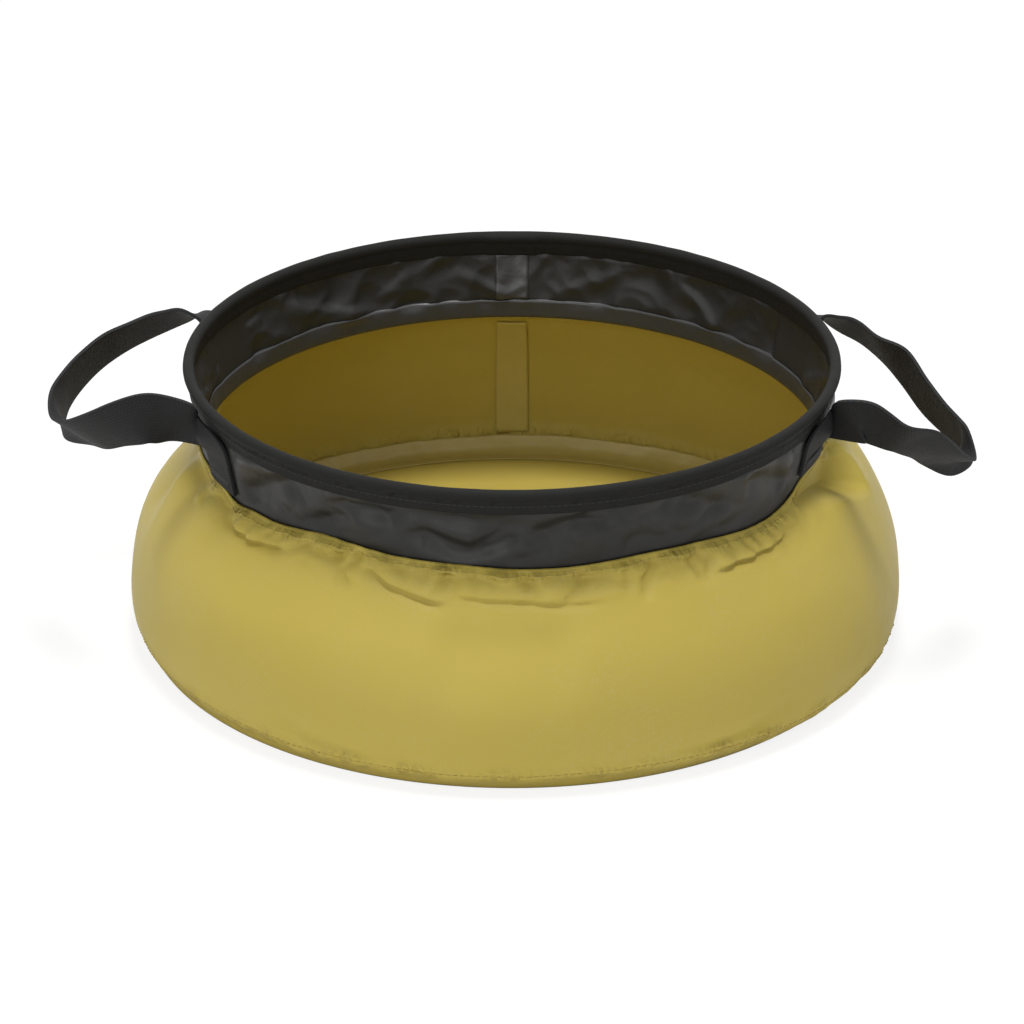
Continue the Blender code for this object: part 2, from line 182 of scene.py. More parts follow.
@dataclass(frozen=True)
class Fold:
    """A fold in a wall along a line of (degrees, height in mm), drawn from left to right as seen from outside.

    push is how far it stands out (or sinks in, below 0), and above and below are its half widths on either
    side of the line, all in mm. A narrow side is the steep one.
    """

    line: Line
    push: float
    above: float
    below: float

    @property
    def height(self) -> float:
        """Mean height of the line's points in metres."""
        return float(np.array(self.line, float)[:, 1].mean()) * MM

    def at(
        self, turn: np.ndarray, along: np.ndarray, radius: float, up: Callable[[np.ndarray], np.ndarray]
    ) -> np.ndarray:
        """How far the fold moves points of a wall outwards.

        Args:
            turn: Angle of each point.
            along: Metres up the wall of each point.
            radius: Radius of the wall where the fold is.
            up: Gives metres up the wall at heights.

        Returns:
            Metres outwards for each point.
        """
        points = np.array(self.line, float)
        middle = math.radians(points[:, 0].mean())
        across = wrapped(turn - middle) * radius
        line = np.column_stack([(np.radians(points[:, 0]) - middle) * radius, up(points[:, 1] * MM)])
        nearest = np.full(len(across), np.inf)
        signed = np.zeros(len(across))
        share = np.zeros(len(across))
        lengths = np.hypot(*np.diff(line, axis=0).T)
        run = 0.0
        for start, stop, length in zip(line, line[1:], lengths):
            step = (stop - start) / length
            du, dv = across - start[0], along - start[1]
            t = np.clip(du * step[0] + dv * step[1], 0, length)
            ou, ov = du - t * step[0], dv - t * step[1]
            gap = np.hypot(ou, ov)
            closer = gap < nearest
            nearest = np.where(closer, gap, nearest)
            side = step[0] * ov - step[1] * ou
            signed = np.where(closer, np.where(side >= 0, gap, -gap), signed)
            share = np.where(closer, (run + t) / lengths.sum(), share)
            run += length
        width = np.where(signed >= 0, self.above, self.below) * MM
        fade = smoothstep(-0.02, 0.25, share) * smoothstep(1.02, 0.75, share)
        return self.push * MM * fade * hump(signed, 0, width)


class Surface(Protocol):
    """A wall that can say where each of its points is."""

    def points(self, angle: np.ndarray, share: np.ndarray) -> np.ndarray:
        """Places on the outer face at angles (radians) and shares of the wall, 0 at its lower edge."""


def off_surface(wall: Surface, angle: np.ndarray, share: np.ndarray, lift: float) -> tuple[np.ndarray, np.ndarray]:
    """Points that stand off a wall, square to it.

    Args:
        wall: The wall.
        angle: Angles in radians.
        share: Shares of the wall, 0 at its lower edge and 1 at its upper one.
        lift: Metres outwards; below 0 it is inwards.

    Returns:
        The points, and the wall's outward directions there.
    """
    angle, share = np.broadcast_arrays(np.asarray(angle, float), np.asarray(share, float))
    step = 0.002
    base = wall.points(angle, share)
    round_it = wall.points(angle + step, share) - wall.points(angle - step, share)
    up = wall.points(angle, share + step) - wall.points(angle, share - step)
    normal = np.cross(round_it, up)
    normal /= np.linalg.norm(normal, axis=1)[:, None]
    return base + normal * lift, normal


@dataclass
class BowlForm:
    """The sizes and outlines that the cloth pieces share, in metres."""

    rim_radius: float = 0.1435
    rim_height: float = 0.125
    hem_radius: float = 0.0034
    skirt_outset: float = 0.0014
    skirt_bottom: float = 0.117
    cloth: float = 0.0008
    gap: float = 0.0003
    tape: float = 0.0003
    side_tape_width: float = 0.016
    collar_radius: float = 0.14116
    belly_radius: float = 0.1752
    waist_height: float = 0.0925
    upper_low: float = 0.086
    upper_high: float = 0.1221
    waist_radius: float = 0.1397
    upper_top_radius: float = 0.1439
    stitch_drop: float = 0.0027
    base_stitch_height: float = 0.009
    # Outline of the lower wall: share of the height, and share of the way from the collar's radius to the belly's
    lower_shares: Line = (
        (0.0, 0.77), (0.032, 0.833), (0.086, 0.943), (0.16, 0.99), (0.27, 0.99), (0.43, 0.932),
        (0.60, 0.781), (0.76, 0.537), (0.87, 0.323), (0.93, 0.157), (0.97, 0.053), (1.0, 0.0),
    )
    # Outline of the upper wall: share of the height, and share of the way from the top's radius to the waist's
    upper_shares: Line = (
        (0.0, 1.0), (0.14, 0.95), (0.3, 0.76), (0.5, 0.44), (0.7, 0.13), (0.83, 0.0), (1.0, 0.0),
    )
    # Height in mm of the lower wall's wavy top edge, by degrees round the bowl
    edge_heights: Line = (
        (-168, 97), (-164, 93.5), (-158, 90.5), (-154, 92.5), (-151, 90.5), (-148, 88.5), (-143, 91),
        (-136, 91), (-126, 94), (-117, 94), (-111, 92), (-99, 91.5), (-89, 90), (-80, 90), (-66, 92),
        (-55, 91), (-44, 88), (-37, 88), (-31, 91), (-26, 97), (-20, 99), (-10, 97), (8, 94), (20, 91.5),
        (33, 93), (48, 90.5), (65, 93), (80, 92), (90, 91), (101, 93), (118, 91), (134, 93.5), (150, 90.5),
        (164, 92), (178, 96),
    )

    def __post_init__(self) -> None:
        """Works out the smooth outlines once."""
        flare = self.belly_radius - self.collar_radius
        lower = curve_through(self.lower_shares, 400)
        self.lower_radii = self.collar_radius + flare * lower[:, 1]
        self.lower_heights = self.waist_height * lower[:, 0]
        self.lower_run = run_along(np.column_stack([self.lower_radii, self.lower_heights]))
        upper = curve_through(self.upper_shares, 200)
        self.upper_radii = self.upper_top_radius + (self.waist_radius - self.upper_top_radius) * upper[:, 1]
        self.upper_heights = self.upper_low + (self.upper_high - self.upper_low) * upper[:, 0]
        self.upper_run = run_along(np.column_stack([self.upper_radii, self.upper_heights]))

    @property
    def foot_radius(self) -> float:
        """Radius of what lies inside the lower wall's foot."""
        return self.lower_radii[0] - self.cloth - 2 * self.gap

    def upper_radius(self, height: np.ndarray) -> np.ndarray:
        """Radius of the upper wall's plain outline at heights."""
        return np.interp(height, self.upper_heights, self.upper_radii)

    def edge_height(self, angle: np.ndarray) -> np.ndarray:
        """Height of the lower wall's top edge.

        Args:
            angle: Angles in radians.

        Returns:
            Metres, the table's heights evened out over a few degrees.
        """
        degrees, heights = np.array(self.edge_heights, float).T
        around = np.concatenate([degrees - 360, degrees, degrees + 360])
        table = np.concatenate([heights] * 3)
        turn = np.degrees(wrapped(angle))
        reach = (-2.0, -1.0, 0.0, 1.0, 2.0)
        return sum(np.interp(turn + step, around, table) for step in reach) / len(reach) * MM


@dataclass
class UpperWall:
    """The short black wall between the hem and the waist, with its folds."""

    form: BowlForm
    steps: int = 800
    rows: int = 46
    tape_width: float = 0.009
    tape_clearance: float = 0.0008
    # The crumpled cloth: a coarse layer, which slants, and a fine one
    coarse: Layer = (0.0042, 0.027, 1)
    fine: Layer = (0.0014, 0.012, 2)
    crumple_mean: float = 0.22
    slant: float = 0.5
    # Where folds fade out: heights under the hem and over the waist, and distances from the middle of a strap end
    hem_fade: tuple[float, float] = (0.1187, 0.1157)
    waist_fade: tuple[float, float] = (0.0895, 0.0965)
    strap_fade: tuple[float, float] = (0.0175, 0.0135)
    strap_ends: tuple[float, ...] = (-153.1, -23.5, 23.5, 156.5)
    seam_pucker: float = 0.15
    folds: tuple[Fold, ...] = (
        Fold(((-148, 93), (-141.5, 101.5), (-136.5, 108.5), (-129, 115.5), (-122, 118)), -3.8, 4.4, 7.5),
        Fold(((-124.3, 109), (-119.5, 112.8), (-115.6, 111.8), (-111.8, 110.3), (-107.5, 111.3)), -2.5, 2.6, 4.6),
        Fold(((-129, 95.5), (-122.3, 103.5), (-117.5, 106.5)), -2.6, 3.6, 6.0),
        Fold(((-110, 100), (-105.5, 103.5), (-101.3, 100), (-96.9, 98), (-92.6, 104.5), (-87.6, 110)), -3.8, 3.8, 6.5),
        Fold(((-117, 117), (-106, 113.5), (-95, 111.5), (-83, 114.5)), -3.4, 6.0, 5.5),
        Fold(((-96.3, 96.5), (-92.8, 99.5), (-88.4, 105)), -2.0, 2.4, 3.6),
        Fold(((-88.6, 99), (-86, 104.5), (-82, 110), (-78, 113.5), (-74, 116), (-67, 118)), -3.6, 3.8, 6.5),
        Fold(((-80.4, 111), (-76, 110.4), (-72.2, 108.5)), -2.0, 2.2, 3.6),
        Fold(((-67.3, 117.5), (-59.4, 114), (-53.1, 106.5), (-49, 100)), -3.4, 5.0, 8.0),
        Fold(((-47, 113), (-40, 108.5), (-33, 99)), -2.4, 4.5, 7.0),
        Fold(((-147, 112), (-140, 116), (-132, 118)), 1.3, 2.5, 4.0),
    )

    def __post_init__(self) -> None:
        """Adds the folds of the sides and the back, from a fixed seed."""
        chance = random.Random(23)
        more = []
        for centre in range(-14, 200, 21):
            lean = chance.choice((-1, 1))
            at = centre + chance.uniform(-7, 7)
            span = chance.uniform(3, 11)
            low, high = chance.uniform(94, 100), chance.uniform(108, 117)
            middle = (at, (low + high) / 2 + chance.uniform(-3, 3))
            ends = ((at - span, low if lean > 0 else high), middle, (at + span, high if lean > 0 else low))
            more.append(Fold(ends, -chance.uniform(0.9, 2.1), chance.uniform(1.6, 2.4), chance.uniform(3.5, 6)))
        self.folds = self.folds + tuple(more)

    def height(self, share: np.ndarray) -> np.ndarray:
        """Heights at shares of the wall, which may run a little past its edges."""
        return self.form.upper_low + (self.form.upper_high - self.form.upper_low) * np.asarray(share, float)

    def share_at(self, height: np.ndarray) -> np.ndarray:
        """Shares of the wall at heights."""
        return (np.asarray(height, float) - self.form.upper_low) / (self.form.upper_high - self.form.upper_low)

    def push(self, angle: np.ndarray, height: np.ndarray) -> np.ndarray:
        """How far the folds move the wall outwards.

        Args:
            angle: Angles in radians.
            height: Heights in metres.

        Returns:
            Metres outwards, nothing under the hem and where the strap ends are sewn.
        """
        radius = self.form.waist_radius
        turn = wrapped(angle)
        total = sum(fold.at(turn, height, radius, np.asarray) for fold in self.folds)
        ring = on_circle(radius, turn, height)
        tangent = np.column_stack([-np.sin(turn), np.cos(turn), np.zeros(len(turn))])
        for (depth, size, seed), lean in ((self.coarse, self.slant), (self.fine, 0.0)):
            total += depth * (crumple_at(ring + ring[:, 2:] * tangent * lean, size, seed) - self.crumple_mean)
        total *= smoothstep(*self.hem_fade, height) * smoothstep(*self.waist_fade, height)
        for end in np.radians(self.strap_ends):
            total *= 1 - smoothstep(*self.strap_fade, np.abs(wrapped(turn - end)) * radius)
        return total

    def points(self, angle: np.ndarray, share: np.ndarray) -> np.ndarray:
        """Places on the outer face at angles and shares of the wall, 0 at its lower edge."""
        height = self.height(share)
        return on_circle(self.form.upper_radius(height) + self.push(angle, height), angle, height)

    def run(self, share: np.ndarray) -> np.ndarray:
        """Metres up the cloth at shares of the wall."""
        return np.interp(self.height(share), self.form.upper_heights, self.form.upper_run)

    def build(self, cloth: "CoatedCloth", tape: "SeamTape") -> list[bpy.types.Object]:
        """Makes the wall and the tapes on its inside.

        Args:
            cloth: Finish of the wall.
            tape: Finish of the tapes.

        Returns:
            The wall, its round waist tape and its upright tape.
        """
        form = self.form
        wall = Shell(self.steps, np.linspace(0, 1, self.rows + 1)).shaped("upper_wall_cloth", self.points)
        row = value_of(wall, "row")
        seam = hump(self.height(row), form.skirt_bottom, 0.004)
        sew(wall, cloth, form.cloth, form.waist_radius, self.run(row), {"pucker": self.seam_pucker * seam})

        inset = -form.cloth - form.gap
        tape_share = self.tape_width / (form.upper_high - form.upper_low)

        def on_inside(angle: np.ndarray, share: np.ndarray) -> np.ndarray:
            """Places on the wall's inner face, up the width of the tape."""
            return off_surface(self, angle, tape_share * share, inset)[0]

        waist_tape = Shell(360, np.linspace(0, 1, 7)).shaped("waist_tape", on_inside)
        sew(waist_tape, tape, form.tape, form.waist_radius, value_of(waist_tape, "row") * self.tape_width)

        start = self.share_at(form.upper_low + self.tape_width + self.tape_clearance)
        stop = self.share_at(form.skirt_bottom - self.tape_clearance)
        side_tape = upright_tape("upper_side_tape", self, (start, stop), form, inset, tape)
        return [wall, waist_tape, side_tape]


@dataclass
class LowerWall:
    """The wide yellow wall from the base to the waist, gathered under the black one."""

    form: BowlForm
    upper: UpperWall
    steps: int = 720
    tape_width: float = 0.0075
    mean_radius: float = 0.165
    # How far the belly stands to the right of the base
    belly_shift: float = 0.0016
    slack: tuple[Layer, ...] = ((0.0011, 0.07, 3), (0.0004, 0.028, 4))
    # The crumpled band at the top and its upright gathers, and the puckers at the foot
    crumple: Layer = (0.0056, 0.0105, 7)
    gathers: Layer = (0.0008, 0.0066, 5)
    foot_puckers: Layer = (0.0014, 0.0062, 6)
    crumple_mean: float = 0.2
    # Shares of the wall between which the band comes in, and between which the puckers do and end
    band_from: tuple[float, float] = (0.82, 0.93)
    puckers_from: tuple[float, float] = (0.015, 0.06)
    puckers_end: tuple[float, float] = (0.13, 0.09)
    # Where the cloth meets the black wall softly, and how far its last part leans in behind the seam
    seat_softness: float = 0.001
    tuck: float = 0.02
    folds: tuple[Fold, ...] = (
        Fold(((-149, 88.2), (-146, 86.4), (-140.5, 84.9), (-135, 85), (-128, 86)), 2.8, 5.5, 1.7),
        Fold(((-117, 88), (-111.4, 84.8), (-107, 82), (-101.9, 79.8), (-99.5, 80.5)), 2.8, 6.0, 1.9),
        Fold(((-100.5, 83.5), (-94, 82.5), (-88.7, 82.5), (-82, 80.9), (-74, 81)), 2.3, 5.5, 1.8),
        Fold(((-57, 82.5), (-48.6, 84.2), (-42.8, 84.5), (-34, 85.5)), 2.5, 5.0, 1.7),
        Fold(((-150, 88.2), (-145.8, 84.9), (-140.2, 83.3), (-135.1, 83.4), (-129.2, 84.3)), -2.8, 2.6, 1.8),
        Fold(((-116.5, 86.6), (-111.4, 83.1), (-107.1, 80.4), (-101.9, 78), (-99, 78.9)), -3.2, 3.4, 2.2),
        Fold(((-101, 82), (-94, 81), (-88.7, 81.1), (-82, 79.5), (-74, 79.6)), -2.2, 3.8, 2.2),
        Fold(((-57, 80.8), (-48.6, 82.5), (-42.8, 82.8), (-33, 84.2)), -2.6, 2.6, 1.8),
        Fold(((-155, 92), (-152.7, 89.7), (-148, 88.6)), -2.8, 2.4, 3.0),
        Fold(((-122.2, 91), (-119.5, 83), (-117, 76)), -2.6, 3.0, 3.0),
        Fold(((-117.5, 90.5), (-116.6, 87)), -1.6, 1.9, 1.9),
        Fold(((-102.9, 80.4), (-100.3, 89.5)), -2.0, 2.2, 2.2),
        Fold(((-87.6, 83.5), (-86.8, 90)), -1.4, 1.8, 1.8),
        Fold(((-82, 79.2), (-79.5, 83.9), (-77, 89.8)), -2.0, 2.4, 2.4),
        Fold(((-70.8, 82), (-70.6, 90)), -2.0, 2.6, 2.6),
        Fold(((-68.9, 77.2), (-67.1, 85.3), (-64, 91.4)), -2.6, 2.6, 2.6),
        Fold(((-59.3, 89.3), (-57.7, 79)), -2.2, 2.0, 2.0),
        Fold(((-57.7, 79), (-53.8, 88.5)), -2.2, 2.0, 2.0),
        Fold(((-31, 92), (-28.4, 86)), -2.0, 1.9, 1.9),
        Fold(((-31, 90), (-23, 83.5), (-7, 72)), -17.0, 13.0, 3.4),
        Fold(((-14.5, 93), (-1.5, 80.5)), -1.6, 1.7, 2.8),
        Fold(((172, 76), (186, 83), (203, 89)), -8.5, 10.0, 6.5),
        Fold(((150, 74), (170, 72), (192, 70)), -10.0, 13.0, 15.0),
        Fold(((-6, 75), (30, 78)), -3.4, 7.0, 5.5),
        Fold(((-27, 91), (-10, 85)), 4.0, 2.6, 2.6),
        Fold(((-104, 62), (-78, 62)), -3.4, 14.0, 22.0),
        Fold(((-128, 22), (-119, 15.5), (-108, 12.5)), -1.2, 4.0, 2.0),
        Fold(((-70, 12.5), (-56, 14.5), (-43, 22)), -1.2, 4.0, 2.0),
    )

    def __post_init__(self) -> None:
        """Spaces the rows, close together at both seams, and adds the gathers of the sides and the back."""
        self.row_shares = np.concatenate([
            np.linspace(0, 0.17, 15, endpoint=False),
            np.linspace(0.17, 0.7, 15, endpoint=False),
            np.linspace(0.7, 1, 31),
        ])
        chance = random.Random(5)
        more = []
        degrees = 2.0
        while degrees < 178:
            step = chance.uniform(5, 11)
            lean = chance.uniform(-1.6, 1.6)
            reach = chance.uniform(6, 14)
            width = chance.uniform(1.4, 2.4)
            line = ((degrees - lean, 91 - reach), (degrees, 91 - reach / 2), (degrees + lean, 92))
            more.append(Fold(line, -chance.uniform(1.2, 2.4), width * 1.2, width * 1.2))
            if chance.random() < 0.55:
                drop = chance.uniform(81, 85)
                crease = ((degrees, drop), (degrees + step / 2, drop - 0.8), (degrees + step * 1.3, drop))
                more.append(Fold(crease, 2.2, 5.0, 1.7))
            degrees += step
        self.folds = self.folds + tuple(more)

    def run(self, share: np.ndarray) -> np.ndarray:
        """Metres up the cloth at shares of the wall."""
        return np.asarray(share, float) * self.form.lower_run[-1]

    def share_at(self, height: np.ndarray) -> np.ndarray:
        """Shares of the plain outline at heights."""
        run = np.interp(np.asarray(height, float), self.form.lower_heights, self.form.lower_run)
        return run / self.form.lower_run[-1]

    def _outline(self, share: np.ndarray) -> tuple[np.ndarray, np.ndarray]:
        """Radii and heights of the plain outline at shares of the wall.

        Args:
            share: Shares of the wall, 0 at the foot.

        Returns:
            The radii and the heights in metres.
        """
        run = np.clip(self.run(share), 0, self.form.lower_run[-1])
        radius = np.interp(run, self.form.lower_run, self.form.lower_radii)
        return radius, np.interp(run, self.form.lower_run, self.form.lower_heights)

    def push(self, angle: np.ndarray, share: np.ndarray) -> np.ndarray:
        """How far folds, gathers and slack move the cloth outwards, in metres.

        Args:
            angle: Angles in radians.
            share: Shares of the wall, 0 at the foot.

        Returns:
            Metres outwards, nothing at the foot and at the top edge.
        """
        form = self.form
        turn = wrapped(angle)
        run = self.run(share)
        total = np.zeros(len(turn))
        for fold in self.folds:
            radius = float(np.interp(fold.height, form.lower_heights, form.lower_radii))
            total += fold.at(turn, run, radius, lambda heights: self.run(self.share_at(heights)))
        ring = on_circle(self.mean_radius, turn, run)
        total += layered(ring, *self.slack) + self.belly_shift * np.cos(turn) * smoothstep(1, 0.75, share)
        band = smoothstep(*self.band_from, share)
        foot = smoothstep(*self.puckers_from, share) * smoothstep(*self.puckers_end, share)
        depth, size, seed = self.crumple
        crushed = (crumple_at(ring, size, seed) - self.crumple_mean) * (0.7 + 0.9 * noise_at(ring, 0.045, 9))
        total += (depth * crushed + layered(ring * (1, 1, 0.15), self.gathers)) * band
        total += layered(ring * (1, 1, 0.4), self.foot_puckers) * (0.8 + noise_at(ring, 0.05, 10)) * foot
        return total * smoothstep(0, 0.05, share) * smoothstep(1.0, 0.955, share)

    def points(self, angle: np.ndarray, share: np.ndarray) -> np.ndarray:
        """Places on the outer face. The top edge waves up and down, and its last part lies against the black wall.

        Args:
            angle: Angles in radians.
            share: Shares of the wall, 0 at the foot.

        Returns:
            One place for each.
        """
        form = self.form
        radius, height = self._outline(share)
        height = height + (form.edge_height(angle) - form.waist_height) * smoothstep(0.55, 1, share)
        seat = form.upper_radius(height) + self.upper.push(angle, height) + form.cloth + form.gap
        radius = radius + (seat - form.collar_radius) * smoothstep(0.8, 1, share) + self.push(angle, share)
        over = radius - seat
        soft = self.seat_softness * smoothstep(form.upper_low, form.upper_low - 0.004, height)
        radius += (np.hypot(over, soft) - over) / 2
        radius -= self.tuck * np.maximum(0, np.asarray(share) - 1)
        return on_circle(radius, angle, height)

    def build(self, cloth: "CoatedCloth", tape: "SeamTape") -> list[bpy.types.Object]:
        """Makes the wall and the tapes on its inside.

        Args:
            cloth: Finish of the wall.
            tape: Finish of the tapes.

        Returns:
            The wall, its round base tape and its upright tape.
        """
        form = self.form
        wall = Shell(self.steps, self.row_shares).shaped("lower_wall_cloth", self.points)
        row = value_of(wall, "row")
        pucker = np.maximum(
            hump(row, self.share_at(form.waist_height - form.stitch_drop), 0.017),
            0.95 * hump(row, self.share_at(form.base_stitch_height), 0.032),
        )
        sew(wall, cloth, form.cloth, self.mean_radius, self.run(row), {"pucker": pucker})

        inset = -form.cloth - 2 * form.gap
        low, high = self.share_at(0.0022), self.share_at(self.tape_width)

        def round_corner(angle: np.ndarray, share: np.ndarray) -> np.ndarray:
            """Places out over the base for the first half of the tape, and up the wall for the second.

            Args:
                angle: Angles in radians.
                share: Shares of the tape, 0 on the base.

            Returns:
                One place for each.
            """
            up = off_surface(self, angle, low + (high - low) * np.clip(share * 2 - 1, 0, 1), inset)[0]
            radius = form.foot_radius - self.tape_width * (1 - np.clip(share * 2, 0, 1)) - 0.0004
            return np.where((share >= 0.5)[:, None], up, on_circle(radius, angle, form.cloth + form.gap))

        base_tape = Shell(300, np.linspace(0, 1, 13)).shaped("base_tape", round_corner)
        sew(base_tape, tape, form.tape, self.mean_radius, value_of(base_tape, "row") * 2 * self.tape_width)

        start, stop = self.share_at(self.tape_width + 0.0016), self.share_at(form.upper_low - 0.0065)
        side_tape = upright_tape("lower_side_tape", self, (start, stop), form, inset, tape)
        return [wall, base_tape, side_tape]


def finished(name: str, work: bmesh.types.BMesh) -> bpy.types.Object:
    """Turns a finished bmesh into a smooth shaded object at the origin.

    Args:
        name: Name of the object.
        work: The bmesh, which is freed.

    Returns:
        The new object.
    """
    mesh = bpy.data.meshes.new(name)
    work.to_mesh(mesh)
    work.free()
    mesh.shade_smooth()
    item = bpy.data.objects.new(name, mesh)
    bpy.context.scene.collection.objects.link(item)
    return item


@dataclass
class Shell:
    """A grid of faces that cloth is shaped from: a tube round the bowl's axis, or an open strip."""

    columns: int
    shares: Sequence[float]
    rolled: bool = True

    def shaped(self, name: str, place: Place) -> bpy.types.Object:
        """Moves the grid's points to where a wall puts them, and keeps where each was on the flat cloth.

        Args:
            name: Name of the new object.
            place: Gives places for arrays of columns (angles in a tube, 0 to 1 in a strip) and rows.

        Returns:
            The shaped open shell, its faces pointing away from the bowl.
        """
        work = bmesh.new()
        count = len(self.shares) - 1
        bmesh.ops.create_grid(work, x_segments=self.columns, y_segments=count, size=1)
        flat = (np.array([vert.co for vert in work.verts])[:, :2] + 1) / 2
        columns = BACK + math.tau * flat[:, 0] if self.rolled else flat[:, 0]
        rows = np.interp(flat[:, 1] * count, np.arange(count + 1), self.shares)
        kept_row = work.verts.layers.float.new("row")
        kept_column = work.verts.layers.float.new("column")
        places = place(columns, rows)
        for vert, row, column, new in zip(work.verts, rows.tolist(), columns.tolist(), places.tolist()):
            vert[kept_row] = row
            vert[kept_column] = column
            vert.co = new
        if self.rolled:
            bmesh.ops.remove_doubles(work, verts=work.verts, dist=1e-6)
        return finished(name, work)


def value_of(piece: bpy.types.Object, name: str) -> np.ndarray:
    """The values of a piece's point attribute.

    Args:
        piece: The piece.
        name: The attribute's name.

    Returns:
        One value for each point.
    """
    values = np.zeros(len(piece.data.vertices), np.float32)
    piece.data.attributes[name].data.foreach_get("value", values)
    return values.astype(float)


def lay_cloth(
    piece: bpy.types.Object,
    radius: float,
    along: np.ndarray,
    masks: dict[str, np.ndarray] | None = None,
    disc: bool = False,
) -> None:
    """Gives a piece its flat pattern in metres as a UV map, and masks as attributes.

    Args:
        piece: A piece from a Shell.
        radius: Metres for each unit of the piece's columns, which is a radius where these are angles.
        along: Metres up the cloth at each point.
        masks: Values for each point, by the attribute's name.
        disc: Whether the cloth is a disc, with its weave straight across it, and not a strip that runs round.
    """
    mesh = piece.data
    corners = np.zeros(len(mesh.loops), np.int32)
    mesh.loops.foreach_get("vertex_index", corners)
    first = np.zeros(len(mesh.polygons), np.int32)
    count = np.zeros(len(mesh.polygons), np.int32)
    mesh.polygons.foreach_get("loop_start", first)
    mesh.polygons.foreach_get("loop_total", count)
    across = value_of(piece, "column")[corners]
    start = np.repeat(across[first], count)
    across -= math.tau * np.round((across - start) / math.tau)
    pattern = np.column_stack([across * radius, along[corners]])
    if disc:
        pattern = np.column_stack([np.cos(across), np.sin(across)]) * along[corners, None]
    layer = mesh.uv_layers.new(name="Cloth")
    layer.data.foreach_set("uv", pattern.astype(np.float32).ravel())
    for name, values in (masks or {}).items():
        attribute = mesh.attributes.new(name, "FLOAT", "POINT")
        attribute.data.foreach_set("value", values.astype(np.float32))


def thicken(piece: bpy.types.Object, thickness: float, offset: float = -1.0) -> None:
    """Gives an open shell its wall.

    Args:
        piece: The shell.
        thickness: Metres of the wall.
        offset: -1 for a wall behind the faces, 0 for one on both sides.
    """
    wall = piece.modifiers.new("Wall", "SOLIDIFY")
    wall.thickness = thickness
    wall.offset = offset
    wall.use_even_offset = offset < 0


def sew(
    piece: bpy.types.Object,
    finish: "Finish",
    thickness: float,
    radius: float,
    along: np.ndarray,
    masks: dict[str, np.ndarray] | None = None,
    disc: bool = False,
) -> None:
    """Turns an open shell into a piece of cloth: its flat pattern, its thickness inwards and its finish.

    Args:
        piece: A piece from a Shell.
        finish: Its finish.
        thickness: Metres of its thickness.
        radius: As for lay_cloth.
        along: As for lay_cloth.
        masks: As for lay_cloth.
        disc: As for lay_cloth.
    """
    lay_cloth(piece, radius, along, masks, disc)
    thicken(piece, thickness)
    finish.dress(piece)


def upright_tape(
    name: str, wall: Surface, shares: tuple[float, float], form: BowlForm, inset: float, tape: "SeamTape"
) -> bpy.types.Object:
    """A tape up the inside of a wall, over its upright seam at the back.

    Args:
        name: Name of the tape.
        wall: The wall that it covers.
        shares: Where on the wall it starts and stops.
        form: The bowl's sizes.
        inset: How far it stands off the wall's outer face; below 0 it is inside.
        tape: Its finish.

    Returns:
        The tape.
    """
    radius = float(np.linalg.norm(wall.points(np.array([BACK]), np.array([sum(shares) / 2]))[0, :2]))

    def place(column: np.ndarray, row: np.ndarray) -> np.ndarray:
        """Places on the wall's inner face, across the tape and up it."""
        angle = BACK + (column - 0.5) * form.side_tape_width / radius
        return off_surface(wall, angle, shares[0] + (shares[1] - shares[0]) * row, inset)[0]

    strip = Shell(12, np.linspace(0, 1, 37), rolled=False).shaped(name, place)
    sew(strip, tape, form.tape, form.side_tape_width, value_of(strip, "row") * 0.06)
    return strip


def stitches(
    name: str, centres: np.ndarray, runs: np.ndarray, normals: np.ndarray, length: float, radius: float
) -> bpy.types.Object:
    """Rows of short rounded stitches.

    Args:
        name: Name of the piece.
        centres: The middle of each stitch.
        runs: The direction of each stitch.
        normals: The cloth's outward direction at each stitch.
        length: Length of one stitch.
        radius: Half the thread's width.

    Returns:
        One mesh of all the stitches.
    """
    work = bmesh.new()
    bmesh.ops.create_uvsphere(work, u_segments=6, v_segments=5, radius=1)
    bead = bpy.data.meshes.new("bead")
    work.to_mesh(bead)
    work.clear()
    for centre, run, normal in zip(centres.tolist(), runs.tolist(), normals.tolist()):
        along = Vector(run).normalized()
        side = Vector(normal).cross(along).normalized()
        up = along.cross(side)
        turn = Matrix((side * radius, up * radius * 0.85, along * length / 2)).transposed().to_4x4()
        turn.translation = Vector(centre)
        bead.transform(turn)
        work.from_mesh(bead)
        bead.transform(turn.inverted())
    bpy.data.meshes.remove(bead)
    return finished(name, work)


@dataclass(frozen=True)
class Stitch:
    """A kind of stitch: metres from one to the next, its length and half the thread's width."""

    pitch: float
    length: float
    radius: float


TOPSTITCH = Stitch(0.0031, 0.0024, 0.00026)
HEM_STITCH = Stitch(0.0029, 0.0025, 0.00018)


def stitch_ring(name: str, wall: Surface, share: float, kind: Stitch) -> bpy.types.Object:
    """A row of topstitching round a wall.

    Args:
        name: Name of the piece.
        wall: The wall that it is sewn on.
        share: The wall's share that it runs along.
        kind: Its kind of stitch.

    Returns:
        One mesh of all the stitches.
    """

    def along(angle: np.ndarray) -> np.ndarray:
        """Places on the row."""
        return wall.points(angle, np.full(len(angle), share))

    around = np.linspace(-math.pi, math.pi, 721)
    run = run_along(along(around))
    count = int(run[-1] / kind.pitch)
    angles = np.interp(np.arange(count) * run[-1] / count, run, around)
    centres, normals = off_surface(wall, angles, share, kind.radius * 0.45)
    step = 2.5 * kind.pitch
    return stitches(name, centres, along(angles + step) - along(angles - step), normals, kind.length, kind.radius)


